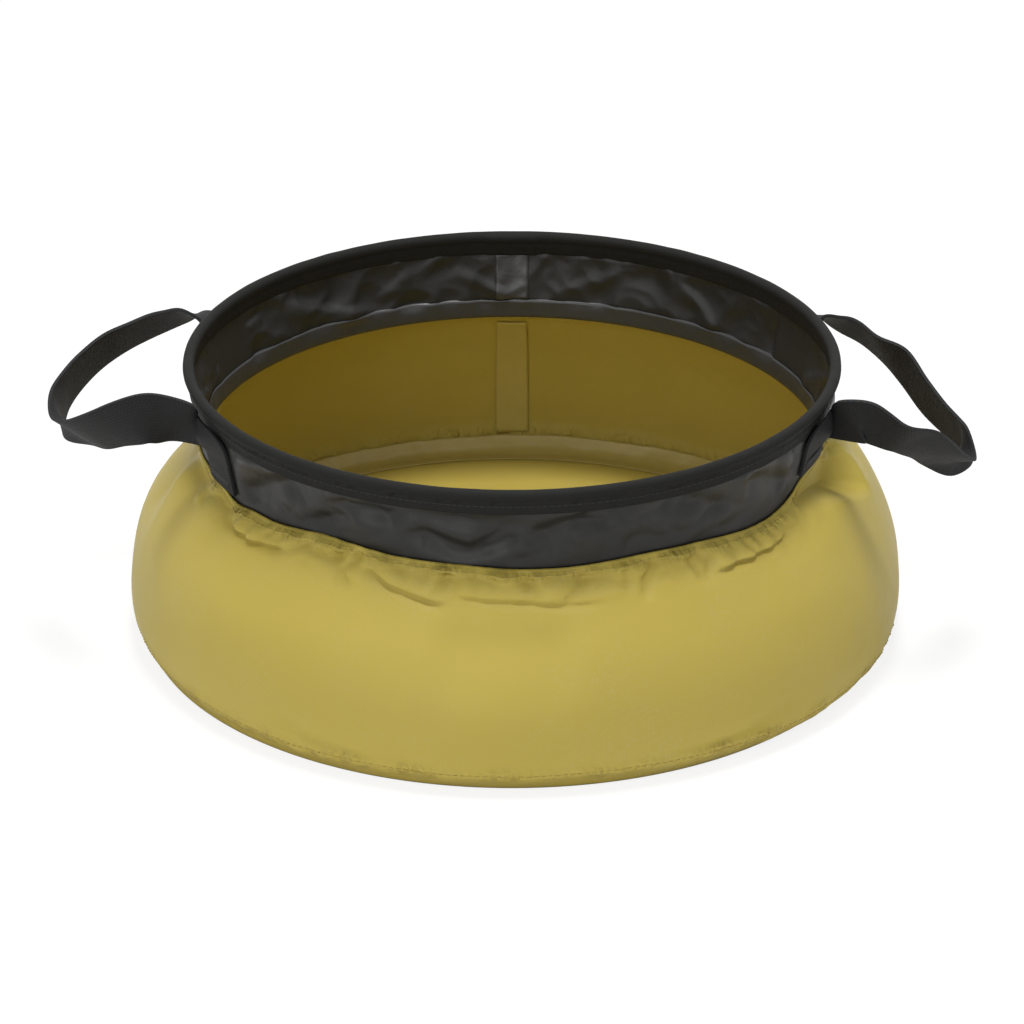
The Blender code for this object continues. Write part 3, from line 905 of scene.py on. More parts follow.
class Wiring:
    """A short way to add shader nodes to a tree and to join them."""

    def __init__(self, tree: bpy.types.NodeTree) -> None:
        """Keeps the tree."""
        self.tree = tree

    def node(self, kind: str, **settings: object) -> bpy.types.Node:
        """Adds a node and sets its properties.

        Args:
            kind: The node's type.
            settings: Its properties by name.

        Returns:
            The node.
        """
        made = self.tree.nodes.new(kind)
        for name, value in settings.items():
            setattr(made, name, value)
        return made

    def put(self, socket: bpy.types.NodeSocket, value: object) -> None:
        """Joins a socket to another one, or sets its value.

        Args:
            socket: An input.
            value: An output, or a number, a vector or a colour.
        """
        if isinstance(value, bpy.types.NodeSocket):
            self.tree.links.new(value, socket)
        else:
            socket.default_value = value

    def fill(self, node: bpy.types.Node, **values: object) -> None:
        """Joins or sets a node's inputs by name, with a low line for each space."""
        for name, value in values.items():
            self.put(node.inputs[name.replace("_", " ")], value)

    def math(self, operation: str, *values: object) -> bpy.types.NodeSocket:
        """Adds a Math node.

        Args:
            operation: The node's operation.
            values: Its inputs, each a socket or a number.

        Returns:
            Its output.
        """
        made = self.node("ShaderNodeMath", operation=operation)
        for socket, value in zip(made.inputs, values):
            self.put(socket, value)
        return made.outputs[0]

    def times(self, first: object, *rest: object) -> bpy.types.NodeSocket:
        """Multiplies sockets and numbers.

        Args:
            first: A socket.
            rest: What it is multiplied by.

        Returns:
            The product.
        """
        for value in rest:
            first = self.math("MULTIPLY", first, value)
        return first

    def arch(self, value: object) -> bpy.types.NodeSocket:
        """A row of arches from 0 to 1, one for each unit of a value."""
        return self.math("ABSOLUTE", self.math("SINE", self.times(value, math.pi)))

    def mix(self, factor: object, first: Colour, second: Colour) -> bpy.types.NodeSocket:
        """Mixes two colours by a factor.

        Args:
            factor: How much of the second colour.
            first: A colour or a socket.
            second: A colour or a socket.

        Returns:
            The mixed colour.
        """
        made = self.node("ShaderNodeMix", data_type="RGBA")
        for index, value in ((0, factor), (6, first), (7, second)):
            self.put(made.inputs[index], (*value, 1) if isinstance(value, tuple) else value)
        return made.outputs[2]

    def spread(self, value: object, low: float, high: float) -> bpy.types.NodeSocket:
        """Maps 0 to 1 onto low to high."""
        return self.math("MULTIPLY_ADD", value, high - low, low)

    def split(self, vector: object) -> Sequence[bpy.types.NodeSocket]:
        """Adds a node that takes a vector apart, and returns its three values.

        Args:
            vector: The vector.

        Returns:
            Its three values.
        """
        made = self.node("ShaderNodeSeparateXYZ")
        self.put(made.inputs[0], vector)
        return made.outputs

    def noise(self, vector: object, scale: object, detail: float = 2.0) -> bpy.types.NodeSocket:
        """Adds a noise texture and returns its value.

        Args:
            vector: Where it is looked up.
            scale: Lumps to the metre.
            detail: Its octaves.

        Returns:
            The noise from 0 to 1.
        """
        made = self.node("ShaderNodeTexNoise")
        self.fill(made, Vector=vector, Scale=scale, Detail=detail)
        return made.outputs["Fac"]

    def bump(self, height: object, distance: float, normal: object = None) -> bpy.types.NodeSocket:
        """Adds a Bump node.

        Args:
            height: The height from 0 to 1.
            distance: Metres that a height of 1 stands for.
            normal: The normal that it adds to, or None.

        Returns:
            The bumped normal.
        """
        made = self.node("ShaderNodeBump")
        self.fill(made, Height=height, Distance=distance)
        if normal is not None:
            self.put(made.inputs["Normal"], normal)
        return made.outputs["Normal"]

    def group(self, tree: bpy.types.NodeTree, **values: object) -> bpy.types.NodeSocket:
        """Places a node group and returns its first output.

        Args:
            tree: The group.
            values: Its inputs by name.

        Returns:
            Its output.
        """
        made = self.node("ShaderNodeGroup", node_tree=tree)
        self.fill(made, **values)
        return made.outputs[0]


class Effect(Enum):
    """The shared effects, each one shader node group that puts out one value."""

    WEAVE = "plain_weave"
    RIB = "webbing_ribs"
    PUCKER = "seam_puckers"
    CRINKLE = "cloth_crinkle"
    DUST = "dust_and_scuffs"

    def tree(self) -> bpy.types.NodeTree:
        """The effect's node group, built the first time that it is asked for."""
        found = bpy.data.node_groups.get(self.value)
        return found or getattr(self, f"_{self.name.lower()}")()

    def _start(self, *inputs: str) -> tuple[bpy.types.NodeTree, Wiring, list[bpy.types.NodeSocket]]:
        """Makes an empty group.

        Args:
            inputs: Names of the number inputs; every group has a Vector before them.

        Returns:
            The group, its wiring and its inputs in order.
        """
        tree = bpy.data.node_groups.new(self.value, "ShaderNodeTree")
        tree.interface.new_socket("Vector", in_out="INPUT", socket_type="NodeSocketVector")
        for name in inputs:
            tree.interface.new_socket(name, in_out="INPUT", socket_type="NodeSocketFloat")
        tree.interface.new_socket("Height", in_out="OUTPUT", socket_type="NodeSocketFloat")
        wiring = Wiring(tree)
        return tree, wiring, list(wiring.node("NodeGroupInput").outputs)[: len(inputs) + 1]

    @staticmethod
    def _end(tree: bpy.types.NodeTree, wiring: Wiring, value: bpy.types.NodeSocket) -> bpy.types.NodeTree:
        """Joins a value to the group's output."""
        wiring.put(wiring.node("NodeGroupOutput").inputs[0], value)
        return tree

    def _weave(self) -> bpy.types.NodeTree:
        """Warp and weft that pass over and under each other.

        Returns:
            The group.
        """
        tree, w, (vector, pitch) = self._start("Pitch")
        across, along, _ = w.split(vector)
        waves = [w.math("SINE", w.math("DIVIDE", w.times(way, math.tau), pitch)) for way in (across, along)]
        return self._end(tree, w, w.spread(w.times(*waves), 0.5, 1.0))

    def _rib(self) -> bpy.types.NodeTree:
        """Picks across a webbing, each column of them half a pick further on.

        Returns:
            The group.
        """
        tree, w, (vector, pick, column) = self._start("Pick", "Column")
        across, along, _ = w.split(vector)
        columns = w.math("DIVIDE", across, column)
        odd = w.math("MODULO", w.math("ABSOLUTE", w.math("FLOOR", columns)), 2.0)
        picks = w.math("ADD", w.math("DIVIDE", along, pick), w.times(odd, 0.5))
        return self._end(tree, w, w.times(w.math("POWER", w.arch(columns), 0.6), w.math("POWER", w.arch(picks), 0.7)))

    def _pucker(self) -> bpy.types.NodeTree:
        """Small gathers across a line of stitches, in uneven clusters, where the mask says.

        Returns:
            The group.
        """
        tree, w, (vector, pitch, mask) = self._start("Pitch", "Mask")
        across, along, _ = w.split(vector)
        line = w.node("ShaderNodeCombineXYZ")
        w.put(line.inputs[0], w.math("DIVIDE", across, pitch))
        w.put(line.inputs[1], w.times(along, 170.0))
        gather = w.noise(line.outputs[0], 1.0, 1.5)
        cluster = w.times(w.noise(line.outputs[0], 0.2, 1.0), 1.9)
        return self._end(tree, w, w.times(gather, w.times(cluster, cluster), mask))

    def _crinkle(self) -> bpy.types.NodeTree:
        """Fine creases of coated cloth: lumps of one size with smaller ones on them.

        Returns:
            The group.
        """
        tree, w, (vector, size) = self._start("Size")
        scale = w.math("DIVIDE", 1.0, size)
        broad = w.noise(vector, scale, 1.0)
        ridge = w.math("ABSOLUTE", w.math("SUBTRACT", w.noise(vector, w.times(scale, 0.6)), 0.5))
        crease = w.math("SUBTRACT", 1.0, w.times(ridge, 4.0))
        return self._end(tree, w, w.math("ADD", w.times(broad, 0.7), w.times(crease, 0.3)))

    def _dust(self) -> bpy.types.NodeTree:
        """Faint specks and rubbed patches.

        Returns:
            The group.
        """
        tree, w, (vector, size, amount) = self._start("Size", "Amount")
        scale = w.math("DIVIDE", 1.0, size)
        patch = w.noise(vector, scale, 4.0)
        specks = w.math("POWER", w.noise(vector, w.times(scale, 22.0), 1.0), 3.0)
        return self._end(tree, w, w.times(patch, patch, specks, 4.0, amount))


@dataclass(frozen=True)
class Finish:
    """What every finish has: a name, two tones of its colour and a roughness."""

    name: str
    colour: Colour
    shade: Colour
    roughness: float

    def dress(self, piece: bpy.types.Object) -> None:
        """Puts the finish on a piece, in place of what it has.

        Args:
            piece: The piece.
        """
        material = bpy.data.materials.get(self.name) or self.make()
        piece.data.materials.clear()
        piece.data.materials.append(material)

    def make(self) -> bpy.types.Material:
        """Makes the material.

        Returns:
            The material, painted in the way of its own kind of finish.
        """
        material = bpy.data.materials.new(self.name)
        material.use_nodes = True
        material.diffuse_color = (*self.colour, 1)
        w = Wiring(material.node_tree)
        centred = w.node("ShaderNodeMapping")
        w.fill(centred, Vector=w.node("ShaderNodeTexCoord").outputs["Object"])
        self.paint(w, material.node_tree.nodes["Principled BSDF"], centred.outputs["Vector"])
        return material

    def paint(self, w: Wiring, shader: bpy.types.Node, place: bpy.types.NodeSocket) -> None:
        """Joins the effects to the shader; each kind of finish has its own way.

        Args:
            w: The material's wiring.
            shader: Its shader.
            place: Its object coordinates.
        """
        raise NotImplementedError

    def between(self, low: float, high: float, w: Wiring, value: bpy.types.NodeSocket) -> bpy.types.NodeSocket:
        """The roughness, less by low where a value is 0 and more by high where it is 1."""
        return w.spread(value, self.roughness - low, self.roughness + high)


@dataclass(frozen=True)
class CoatedCloth(Finish):
    """Plain-woven nylon with a soft coating that crinkles."""

    weave: float = 0.00045
    crinkle: float = 0.00025
    pucker: float = 0.0026
    gloss: float = 0.25
    dust: float = 0.1

    def paint(self, w: Wiring, shader: bpy.types.Node, place: bpy.types.NodeSocket) -> None:
        """Weave under creases, with puckers at the seams, painted shade in the puckers' hollows and a little dust.

        Args:
            w: The material's wiring.
            shader: Its shader.
            place: Its object coordinates.
        """
        flat = w.node("ShaderNodeUVMap", uv_map="Cloth").outputs["UV"]
        mask = w.node("ShaderNodeAttribute", attribute_name="pucker").outputs["Fac"]
        weave = w.group(Effect.WEAVE.tree(), Vector=flat, Pitch=self.weave)
        crinkle = w.group(Effect.CRINKLE.tree(), Vector=place, Size=0.011)
        pucker = w.group(Effect.PUCKER.tree(), Vector=flat, Pitch=0.0031, Mask=mask)
        dust = w.group(Effect.DUST.tree(), Vector=place, Size=0.03, Amount=self.dust)
        tone = w.math("ADD", w.times(weave, 0.12), w.times(w.noise(place, 9.0, 3.0), 0.5))
        # Painted shade: the colour is lighter on the puckers' crests and darker in their hollows
        tone = w.math("ADD", tone, w.times(pucker, -0.1))
        normal = w.bump(crinkle, self.crinkle, w.bump(pucker, self.pucker))
        w.fill(
            shader,
            Base_Color=w.mix(dust, w.mix(tone, self.colour, self.shade), (0.5, 0.49, 0.46)),
            Roughness=w.math("ADD", self.between(0.05, 0.06, w, crinkle), dust),
            Normal=w.bump(weave, 0.00003, normal),
            Specular_IOR_Level=self.gloss,
        )


@dataclass(frozen=True)
class Webbing(Finish):
    """Ribbed nylon webbing with a smooth selvedge."""

    pick: float = 0.0012
    column: float = 0.0015
    relief: float = 0.00009
    gloss: float = 0.13

    def paint(self, w: Wiring, shader: bpy.types.Node, place: bpy.types.NodeSocket) -> None:
        """Ribs over faint creases, with painted shade in the grooves between them and a little dust.

        Args:
            w: The material's wiring.
            shader: Its shader.
            place: Its object coordinates.
        """
        flat = w.node("ShaderNodeUVMap", uv_map="Cloth").outputs["UV"]
        rib = w.group(Effect.RIB.tree(), Vector=flat, Pick=self.pick, Column=self.column)
        crinkle = w.group(Effect.CRINKLE.tree(), Vector=place, Size=0.006)
        dust = w.group(Effect.DUST.tree(), Vector=place, Size=0.02, Amount=0.02)
        # Painted shade: the colour is darker in the rib grooves and lighter on the crests
        w.fill(
            shader,
            Base_Color=w.mix(dust, w.mix(rib, self.shade, self.colour), (0.3, 0.3, 0.29)),
            Roughness=self.between(-0.08, -0.04, w, rib),
            Normal=w.bump(rib, self.relief, w.bump(crinkle, 0.00015)),
            Specular_IOR_Level=self.gloss,
        )


@dataclass(frozen=True)
class Thread(Finish):
    """Twisted sewing thread."""

    def paint(self, w: Wiring, shader: bpy.types.Node, place: bpy.types.NodeSocket) -> None:
        """One fine grain in the tone, the roughness and the relief.

        Args:
            w: The material's wiring.
            shader: Its shader.
            place: Its object coordinates.
        """
        twist = w.noise(place, 2600.0, 1.0)
        tone = w.mix(twist, self.colour, self.shade)
        w.fill(shader, Base_Color=tone, Roughness=self.between(0.1, 0.1, w, twist), Normal=w.bump(twist, 0.00008))


@dataclass(frozen=True)
class SeamTape(Finish):
    """Thin glued tape with a smooth, slightly cloudy face."""

    def paint(self, w: Wiring, shader: bpy.types.Node, place: bpy.types.NodeSocket) -> None:
        """Clouds in the tone and the roughness, and small creases.

        Args:
            w: The material's wiring.
            shader: Its shader.
            place: Its object coordinates.
        """
        crinkle = w.group(Effect.CRINKLE.tree(), Vector=place, Size=0.004)
        cloud = w.noise(place, 160.0, 3.0)
        tone = w.mix(cloud, self.colour, self.shade)
        w.fill(shader, Base_Color=tone, Roughness=self.between(0.06, 0.1, w, cloud), Normal=w.bump(crinkle, 0.00018))


@dataclass(frozen=True)
class SpringSteel(Finish):
    """Drawn wire and its crimped sleeve."""

    def paint(self, w: Wiring, shader: bpy.types.Node, place: bpy.types.NodeSocket) -> None:
        """Drawing marks and some tarnish on bare metal.

        Args:
            w: The material's wiring.
            shader: Its shader.
            place: Its object coordinates.
        """
        drawn = w.noise(place, 1400.0, 2.0)
        dust = w.group(Effect.DUST.tree(), Vector=place, Size=0.01, Amount=0.5)
        tone = w.mix(dust, self.colour, self.shade)
        rough = self.between(0.08, 0.12, w, drawn)
        w.fill(shader, Base_Color=tone, Roughness=rough, Normal=w.bump(drawn, 0.00002), Metallic=1.0)


@dataclass
class Hem:
    """The cloth tube round the wire hoop, with its two sewn skirts and the row of stitches under it."""

    form: BowlForm
    steps: int = 480
    arc_steps: int = 34
    tunnel_radius: float = 0.0018
    slot_half_width: float = 0.0007
    skirt_taper: float = 0.0006
    bead_radius: float = 0.0026
    bead_lift: float = 0.0005
    bead_out: float = 0.0005
    splice_arc: float = 0.085
    # How far the tube swells over the splice, and how far the cloth stands in or out in lumps and at the stitches
    swell: float = 0.0005
    lumps: Layer = (0.00012, 0.011, 8)
    gathers: Layer = (0.0001, 0.0035, 9)

    def section(self) -> list[tuple[float, float]]:
        """The closed section, as steps out from the hoop's circle and up from its height.

        Returns:
            Points out and up, each in metres.
        """

        def arc(radius: float, half: float) -> list[tuple[float, float]]:
            """A circle from below, open over half a width on either side of its lowest point.

            Args:
                radius: The circle's radius.
                half: Half the opening's width.

            Returns:
                Points of the circle.
            """
            start = math.asin(half / radius)
            turn = math.tau - 2 * start
            angles = [start + turn * i / self.arc_steps for i in range(self.arc_steps + 1)]
            return [(radius * math.sin(a), -radius * math.cos(a)) for a in angles]

        form = self.form
        foot = form.skirt_bottom - form.rim_height
        outer = []
        for out, up in arc(self.bead_radius, form.skirt_outset):
            shift = float(smoothstep(-self.bead_radius, 0, up)) * self.bead_out
            outer.append((out + shift, up + self.bead_lift))
        neck = outer[0][1]
        inner = arc(self.tunnel_radius, self.slot_half_width)
        slot = self.slot_half_width
        steps = (0.3, 0.5, 0.7, 0.85, 1)
        skirt = [(form.skirt_outset - self.skirt_taper * t, foot * t + neck * (1 - t)) for t in steps]
        left = [(-out, up) for out, up in skirt] + [(-slot, foot)]
        right = [(slot, foot)] + skirt[::-1]
        return outer + left + inner[::-1] + right

    def points(self, angle: np.ndarray, share: np.ndarray) -> np.ndarray:
        """Places down the outer skirt's face, for the row of stitches on it.

        Args:
            angle: Angles in radians.
            share: How far up across the row, 0.5 on it.

        Returns:
            One place for each.
        """
        radius = np.full(len(angle), self.form.rim_radius + self.form.skirt_outset - self.skirt_taper / 2)
        height = self.form.rim_height - self.form.hem_radius - 0.0009 + (np.asarray(share) - 0.5) * 0.002
        return on_circle(radius, angle, height)

    def build(self, cloth: CoatedCloth, thread: Thread) -> list[bpy.types.Object]:
        """Makes the hem and its stitches.

        Args:
            cloth: Finish of the hem.
            thread: Finish of the stitches.

        Returns:
            The hem and the row of stitches.
        """
        form = self.form
        rows = np.array(self.section() + self.section()[:1])
        run = run_along(rows)

        def place(angle: np.ndarray, along: np.ndarray) -> np.ndarray:
            """Places round the hoop and along the section, a little uneven.

            Args:
                angle: Angles in radians.
                along: Metres along the section.

            Returns:
                One place for each.
            """
            out, up = np.interp(along, run, rows[:, 0]), np.interp(along, run, rows[:, 1])
            plain = on_circle(form.rim_radius + out, angle, up)
            away = np.abs(wrapped(angle - BACK))
            grow = layered(plain, self.lumps)
            grow += layered(plain * (1, 1, 0.2), self.gathers) * hump(up, -0.003, 0.0012)
            grow += self.swell * smoothstep(self.splice_arc + 0.006, self.splice_arc, away) * smoothstep(0.0029, 0, up)
            far = np.hypot(out, up)
            grow = 1 + np.where(far > self.tunnel_radius + 0.0003, grow, 0) / far
            return on_circle(form.rim_radius + out * grow, angle, form.rim_height + up * grow)

        hem = Shell(self.steps, run).shaped("hem_tube", place)
        height = np.array([v.co.z for v in hem.data.vertices]) - form.rim_height
        lay_cloth(hem, form.rim_radius, value_of(hem, "row"), {"pucker": hump(height, -0.0042, 0.0018)})
        cloth.dress(hem)
        sewn = stitch_ring("hem_stitches", self, 0.5, HEM_STITCH)
        thread.dress(sewn)
        return [hem, sewn]


@dataclass
class BasePanel:
    """The round cloth base inside the foot of the lower wall."""

    form: BowlForm
    steps: int = 240
    rings: int = 44
    slack: float = 0.0014

    def points(self, angle: np.ndarray, share: np.ndarray) -> np.ndarray:
        """Places on the panel's underside, which lies on the floor but for some slack.

        Args:
            angle: Angles in radians.
            share: Shares of its radius, 0 in the middle.

        Returns:
            One place for each.
        """
        whole = self.form.foot_radius
        radius = whole * np.asarray(share, float)
        flat = on_circle(radius, angle, 0.0)
        lumps = np.maximum(0, noise_at(flat, 0.055, 12) + 0.35 * noise_at(flat, 0.02, 13))
        flat[:, 2] = self.slack * lumps * smoothstep(whole - 0.009, whole - 0.03, radius)
        return flat

    def build(self, cloth: CoatedCloth) -> bpy.types.Object:
        """Makes the panel.

        Args:
            cloth: Its finish.

        Returns:
            The panel.
        """
        form = self.form
        panel = Shell(self.steps, np.linspace(0, 1, self.rings + 1)).shaped("base_panel_cloth", self.points)
        row = value_of(panel, "row")
        masks = {"pucker": smoothstep(0.93, 1, row)}
        sew(panel, cloth, form.cloth, form.belly_radius, row * form.foot_radius, masks, disc=True)
        return panel


@dataclass
class Handle:
    """One length of webbing: a sewn end at the front, the loop that is held, and a sewn end at the back.

    At the front the webbing turns off the wall sideways: its inner edge stays down at the wall, while its outer
    edge passes under the hem and becomes the loop's upper edge. At the back it folds straight outwards.
    """

    form: BowlForm
    side: Side
    reach: float
    drop: float
    front_turn: float
    back_lean: float
    shares: Sequence[tuple[float, float, float, float]]
    width: float = 0.025
    thickness: float = 0.0015
    root_offset: float = 0.062
    hinge_x: float = 0.142815
    hinge_height: float = 0.1195
    back_leaves: float = 0.111
    front_leaves: float = 0.1035
    columns: int = 14
    rows: int = 320
    tack_height: float = 0.0028
    tack_width: float = 0.018
    # Across the front corner, from the sewn end on: degrees from the handle's axis, radius and height in mm of the
    # inner edge, the same of the outer edge, and how far the middle bows outwards in mm
    corner: tuple[tuple[float, ...], ...] = (
        (18.4, 143.6, 104.8, 28.5, 144.6, 112.0, 0.3),
        (18.2, 144.2, 105.7, 28.0, 145.6, 116.4, 0.9),
        (18.0, 144.7, 106.1, 25.4, 146.3, 119.2, 1.8),
        (17.8, 145.0, 106.3, 21.2, 146.6, 119.9, 2.4),
        (17.6, 145.3, 106.4, 17.0, 146.6, 119.8, 1.8),
    )

    def __post_init__(self) -> None:
        """Works out the strap's rows once."""
        self.length = 0.0
        self.net = self._net()

    def root(self, end: End) -> float:
        """Angle of the middle of a sewn end, in radians.

        Args:
            end: Which sewn end.

        Returns:
            The angle.
        """
        off = math.atan2(self.root_offset, self.hinge_x)
        if end is End.FRONT:
            off += math.radians(self.front_turn)
        return math.atan2(end.value * math.sin(off), self.side.value * math.cos(off))

    def foot(self, end: End) -> float:
        """Height of the foot of a sewn end, just over the lower wall's edge."""
        return float(self.form.edge_height(np.array([self.root(end)]))[0]) + 0.0006

    def _across(self) -> np.ndarray:
        """Metres from the strap's middle to each of its columns."""
        return (np.linspace(0, 1, self.columns + 1) - 0.5) * self.width

    def _sewn(self, end: End, top: float) -> np.ndarray:
        """Rows of points across a sewn end, from its foot up to a height.

        Args:
            end: Which sewn end.
            top: The height in metres.

        Returns:
            The rows, the lowest one first.
        """
        rows = []
        for height in np.linspace(self.foot(end), top, 14):
            radius = self.form.upper_radius(height) + self.thickness / 2 + self.form.gap
            turn = self.root(end) + self.side.value * end.value * self._across() / radius
            rows.append(on_circle(radius, turn, height))
        return np.array(rows)

    def _back_fold(self) -> np.ndarray:
        """Rows from the sewn end at the back, out under the hem to the hinge line.

        Returns:
            The rows, the foot of the sewn end first.
        """
        sewn = self._sewn(End.BACK, self.back_leaves)
        across = self._across()
        last = sewn[-1]
        out = last * (1, 1, 0) / np.linalg.norm(last[:, :2], axis=1)[:, None]
        bow = last + out * 0.002
        bow[:, 2] = self.hinge_height - 0.004
        lean = math.radians(self.back_lean)
        line = np.column_stack([
            np.full(len(across), self.side.value * self.hinge_x), self.root_offset + across * math.sin(lean),
            self.hinge_height - across * math.cos(lean),
        ])
        turned = [last * (1 - t) ** 2 + bow * 2 * t * (1 - t) + line * t**2 for t in np.linspace(0, 1, 12)[1:]]
        return np.concatenate([sewn, turned])

    def _edge_point(self, degrees: float, radius: float, height: float) -> tuple[float, float, float]:
        """A point of the front corner, given from the handle's axis and in mm."""
        turn = math.radians(degrees + self.front_turn)
        return (self.side.value * radius * MM * math.cos(turn), -radius * MM * math.sin(turn), height * MM)

    def _middle(self, front: np.ndarray, back: np.ndarray) -> np.ndarray:
        """Rows of points from the front corner round the loop to the back fold.

        Args:
            front: The last sewn row at the front.
            back: The row at the hinge line at the back.

        Returns:
            Smooth rows that start at front and end at back.
        """
        table = np.array(self.shares, float)
        centres = np.column_stack([
            self.side.value * (self.hinge_x + table[:, 0] * self.reach), table[:, 1] * self.root_offset,
            self.hinge_height - table[:, 2] * self.drop,
        ])
        corner = [(*self._edge_point(*row[:3]), *self._edge_point(*row[3:6]), row[6] * MM) for row in self.corner]
        first = (np.array(corner[-1][:3]) + np.array(corner[-1][3:6])) / 2
        run = np.gradient(np.vstack([first, centres, back.mean(0)]), axis=0)[1:-1]
        run /= np.linalg.norm(run, axis=1)[:, None]
        lean = np.radians(table[:, 3:])
        up = np.array([0.0, 0.0, 1.0]) - run * run[:, 2:]
        up /= np.linalg.norm(up, axis=1)[:, None]
        wide = (up * np.cos(lean) + self.side.value * np.cross(run, up) * np.sin(lean)) * self.width / 2
        loop = np.column_stack([centres - wide, centres + wide, np.zeros(len(centres))])
        ends = [np.array([*row[0], *row[-1], 0.0]) for row in (front, back)]
        path = curve_through([ends[0], *corner, *loop, ends[1]], 420)
        low, high, bow = path[:, :3], path[:, 3:6], path[:, 6]
        run = np.gradient((low + high) / 2, axis=0)
        outward = -self.side.value * np.cross(high - low, run)
        outward /= np.linalg.norm(outward, axis=1)[:, None]
        across = np.linspace(0, 1, self.columns + 1)[None, :, None]
        rise = np.sin(math.pi * across) * bow[:, None, None] * outward[:, None, :]
        return low[:, None, :] * (1 - across) + high[:, None, :] * across + rise

    def _net(self) -> np.ndarray:
        """Rows of points across the whole strap, evenly spread along it and eased over the folds.

        Returns:
            The rows, from the front foot to the back one.
        """
        front = self._sewn(End.FRONT, self.front_leaves)
        back = self._back_fold()[::-1, ::-1]
        rows = np.concatenate([front, self._middle(front[-1], back[0])[1:-1], back])
        run = run_along(rows.mean(1))
        self.length = float(run[-1])
        even = np.linspace(0, run[-1], self.rows + 1)
        net = np.array([[np.interp(even, run, rows[:, c, k]) for k in range(3)] for c in range(rows.shape[1])])
        net = net.transpose(2, 0, 1)
        ease = smoothstep(0.009, 0.014, even) * smoothstep(run[-1] - 0.017, run[-1] - 0.022, even)
        for _ in range(10):
            soft = net.copy()
            soft[1:-1] = (net[:-2] + 2 * net[1:-1] + net[2:]) / 4
            net = net + (soft - net) * ease[:, None, None]
        return net

    def place(self, column: np.ndarray, row: np.ndarray) -> np.ndarray:
        """Places on the strap's middle at columns across it and rows along it, both from 0 to 1.

        Args:
            column: Shares of the width.
            row: Shares of the length.

        Returns:
            One place for each.
        """
        i = np.clip(np.round(row * self.rows).astype(int), 0, self.rows)
        j = np.clip(np.round(column * self.columns).astype(int), 0, self.columns)
        return self.net[i, j]

    def tack(self, end: End) -> bpy.types.Object:
        """The bar tack that holds a sewn end: a tight row of upright stitches across it.

        Args:
            end: Which sewn end.

        Returns:
            The bar tack, without its finish.
        """
        height = self.foot(end) + 0.0046
        radius = self.form.upper_radius(height) + self.form.gap + self.thickness + 0.0001
        turns = self.root(end) + (np.linspace(0, 1, 27) - 0.5) * self.tack_width / radius
        normals = on_circle(1.0, turns, 0.0)
        centres = normals * radius + (0, 0, height)
        runs = np.tile((0.0, 0.0, 1.0), (len(turns), 1))
        name = f"{self.side.name.lower()}_{end.name.lower()}_bar_tack"
        return stitches(name, centres, runs, normals, self.tack_height, 0.00036)

    def build(self, webbing: Webbing, thread: Thread) -> tuple[bpy.types.Object, list[bpy.types.Object]]:
        """Makes the strap and its bar tacks.

        Args:
            webbing: Finish of the strap.
            thread: Finish of the tacks.

        Returns:
            The strap and the two tacks.
        """
        shares = np.linspace(0, 1, self.rows + 1)
        strap = Shell(self.columns, shares, rolled=False).shaped(f"{self.side.name.lower()}_handle_webbing", self.place)
        lay_cloth(strap, self.width, value_of(strap, "row") * self.length)
        thicken(strap, self.thickness, offset=0.0)
        edge = strap.modifiers.new("Selvedge", "BEVEL")
        edge.width = 0.0005
        edge.segments = 2
        edge.limit_method = "ANGLE"
        edge.angle_limit = math.radians(60)
        webbing.dress(strap)
        tacks = [self.tack(end) for end in End]
        for tack in tacks:
            thread.dress(tack)
        return strap, tacks


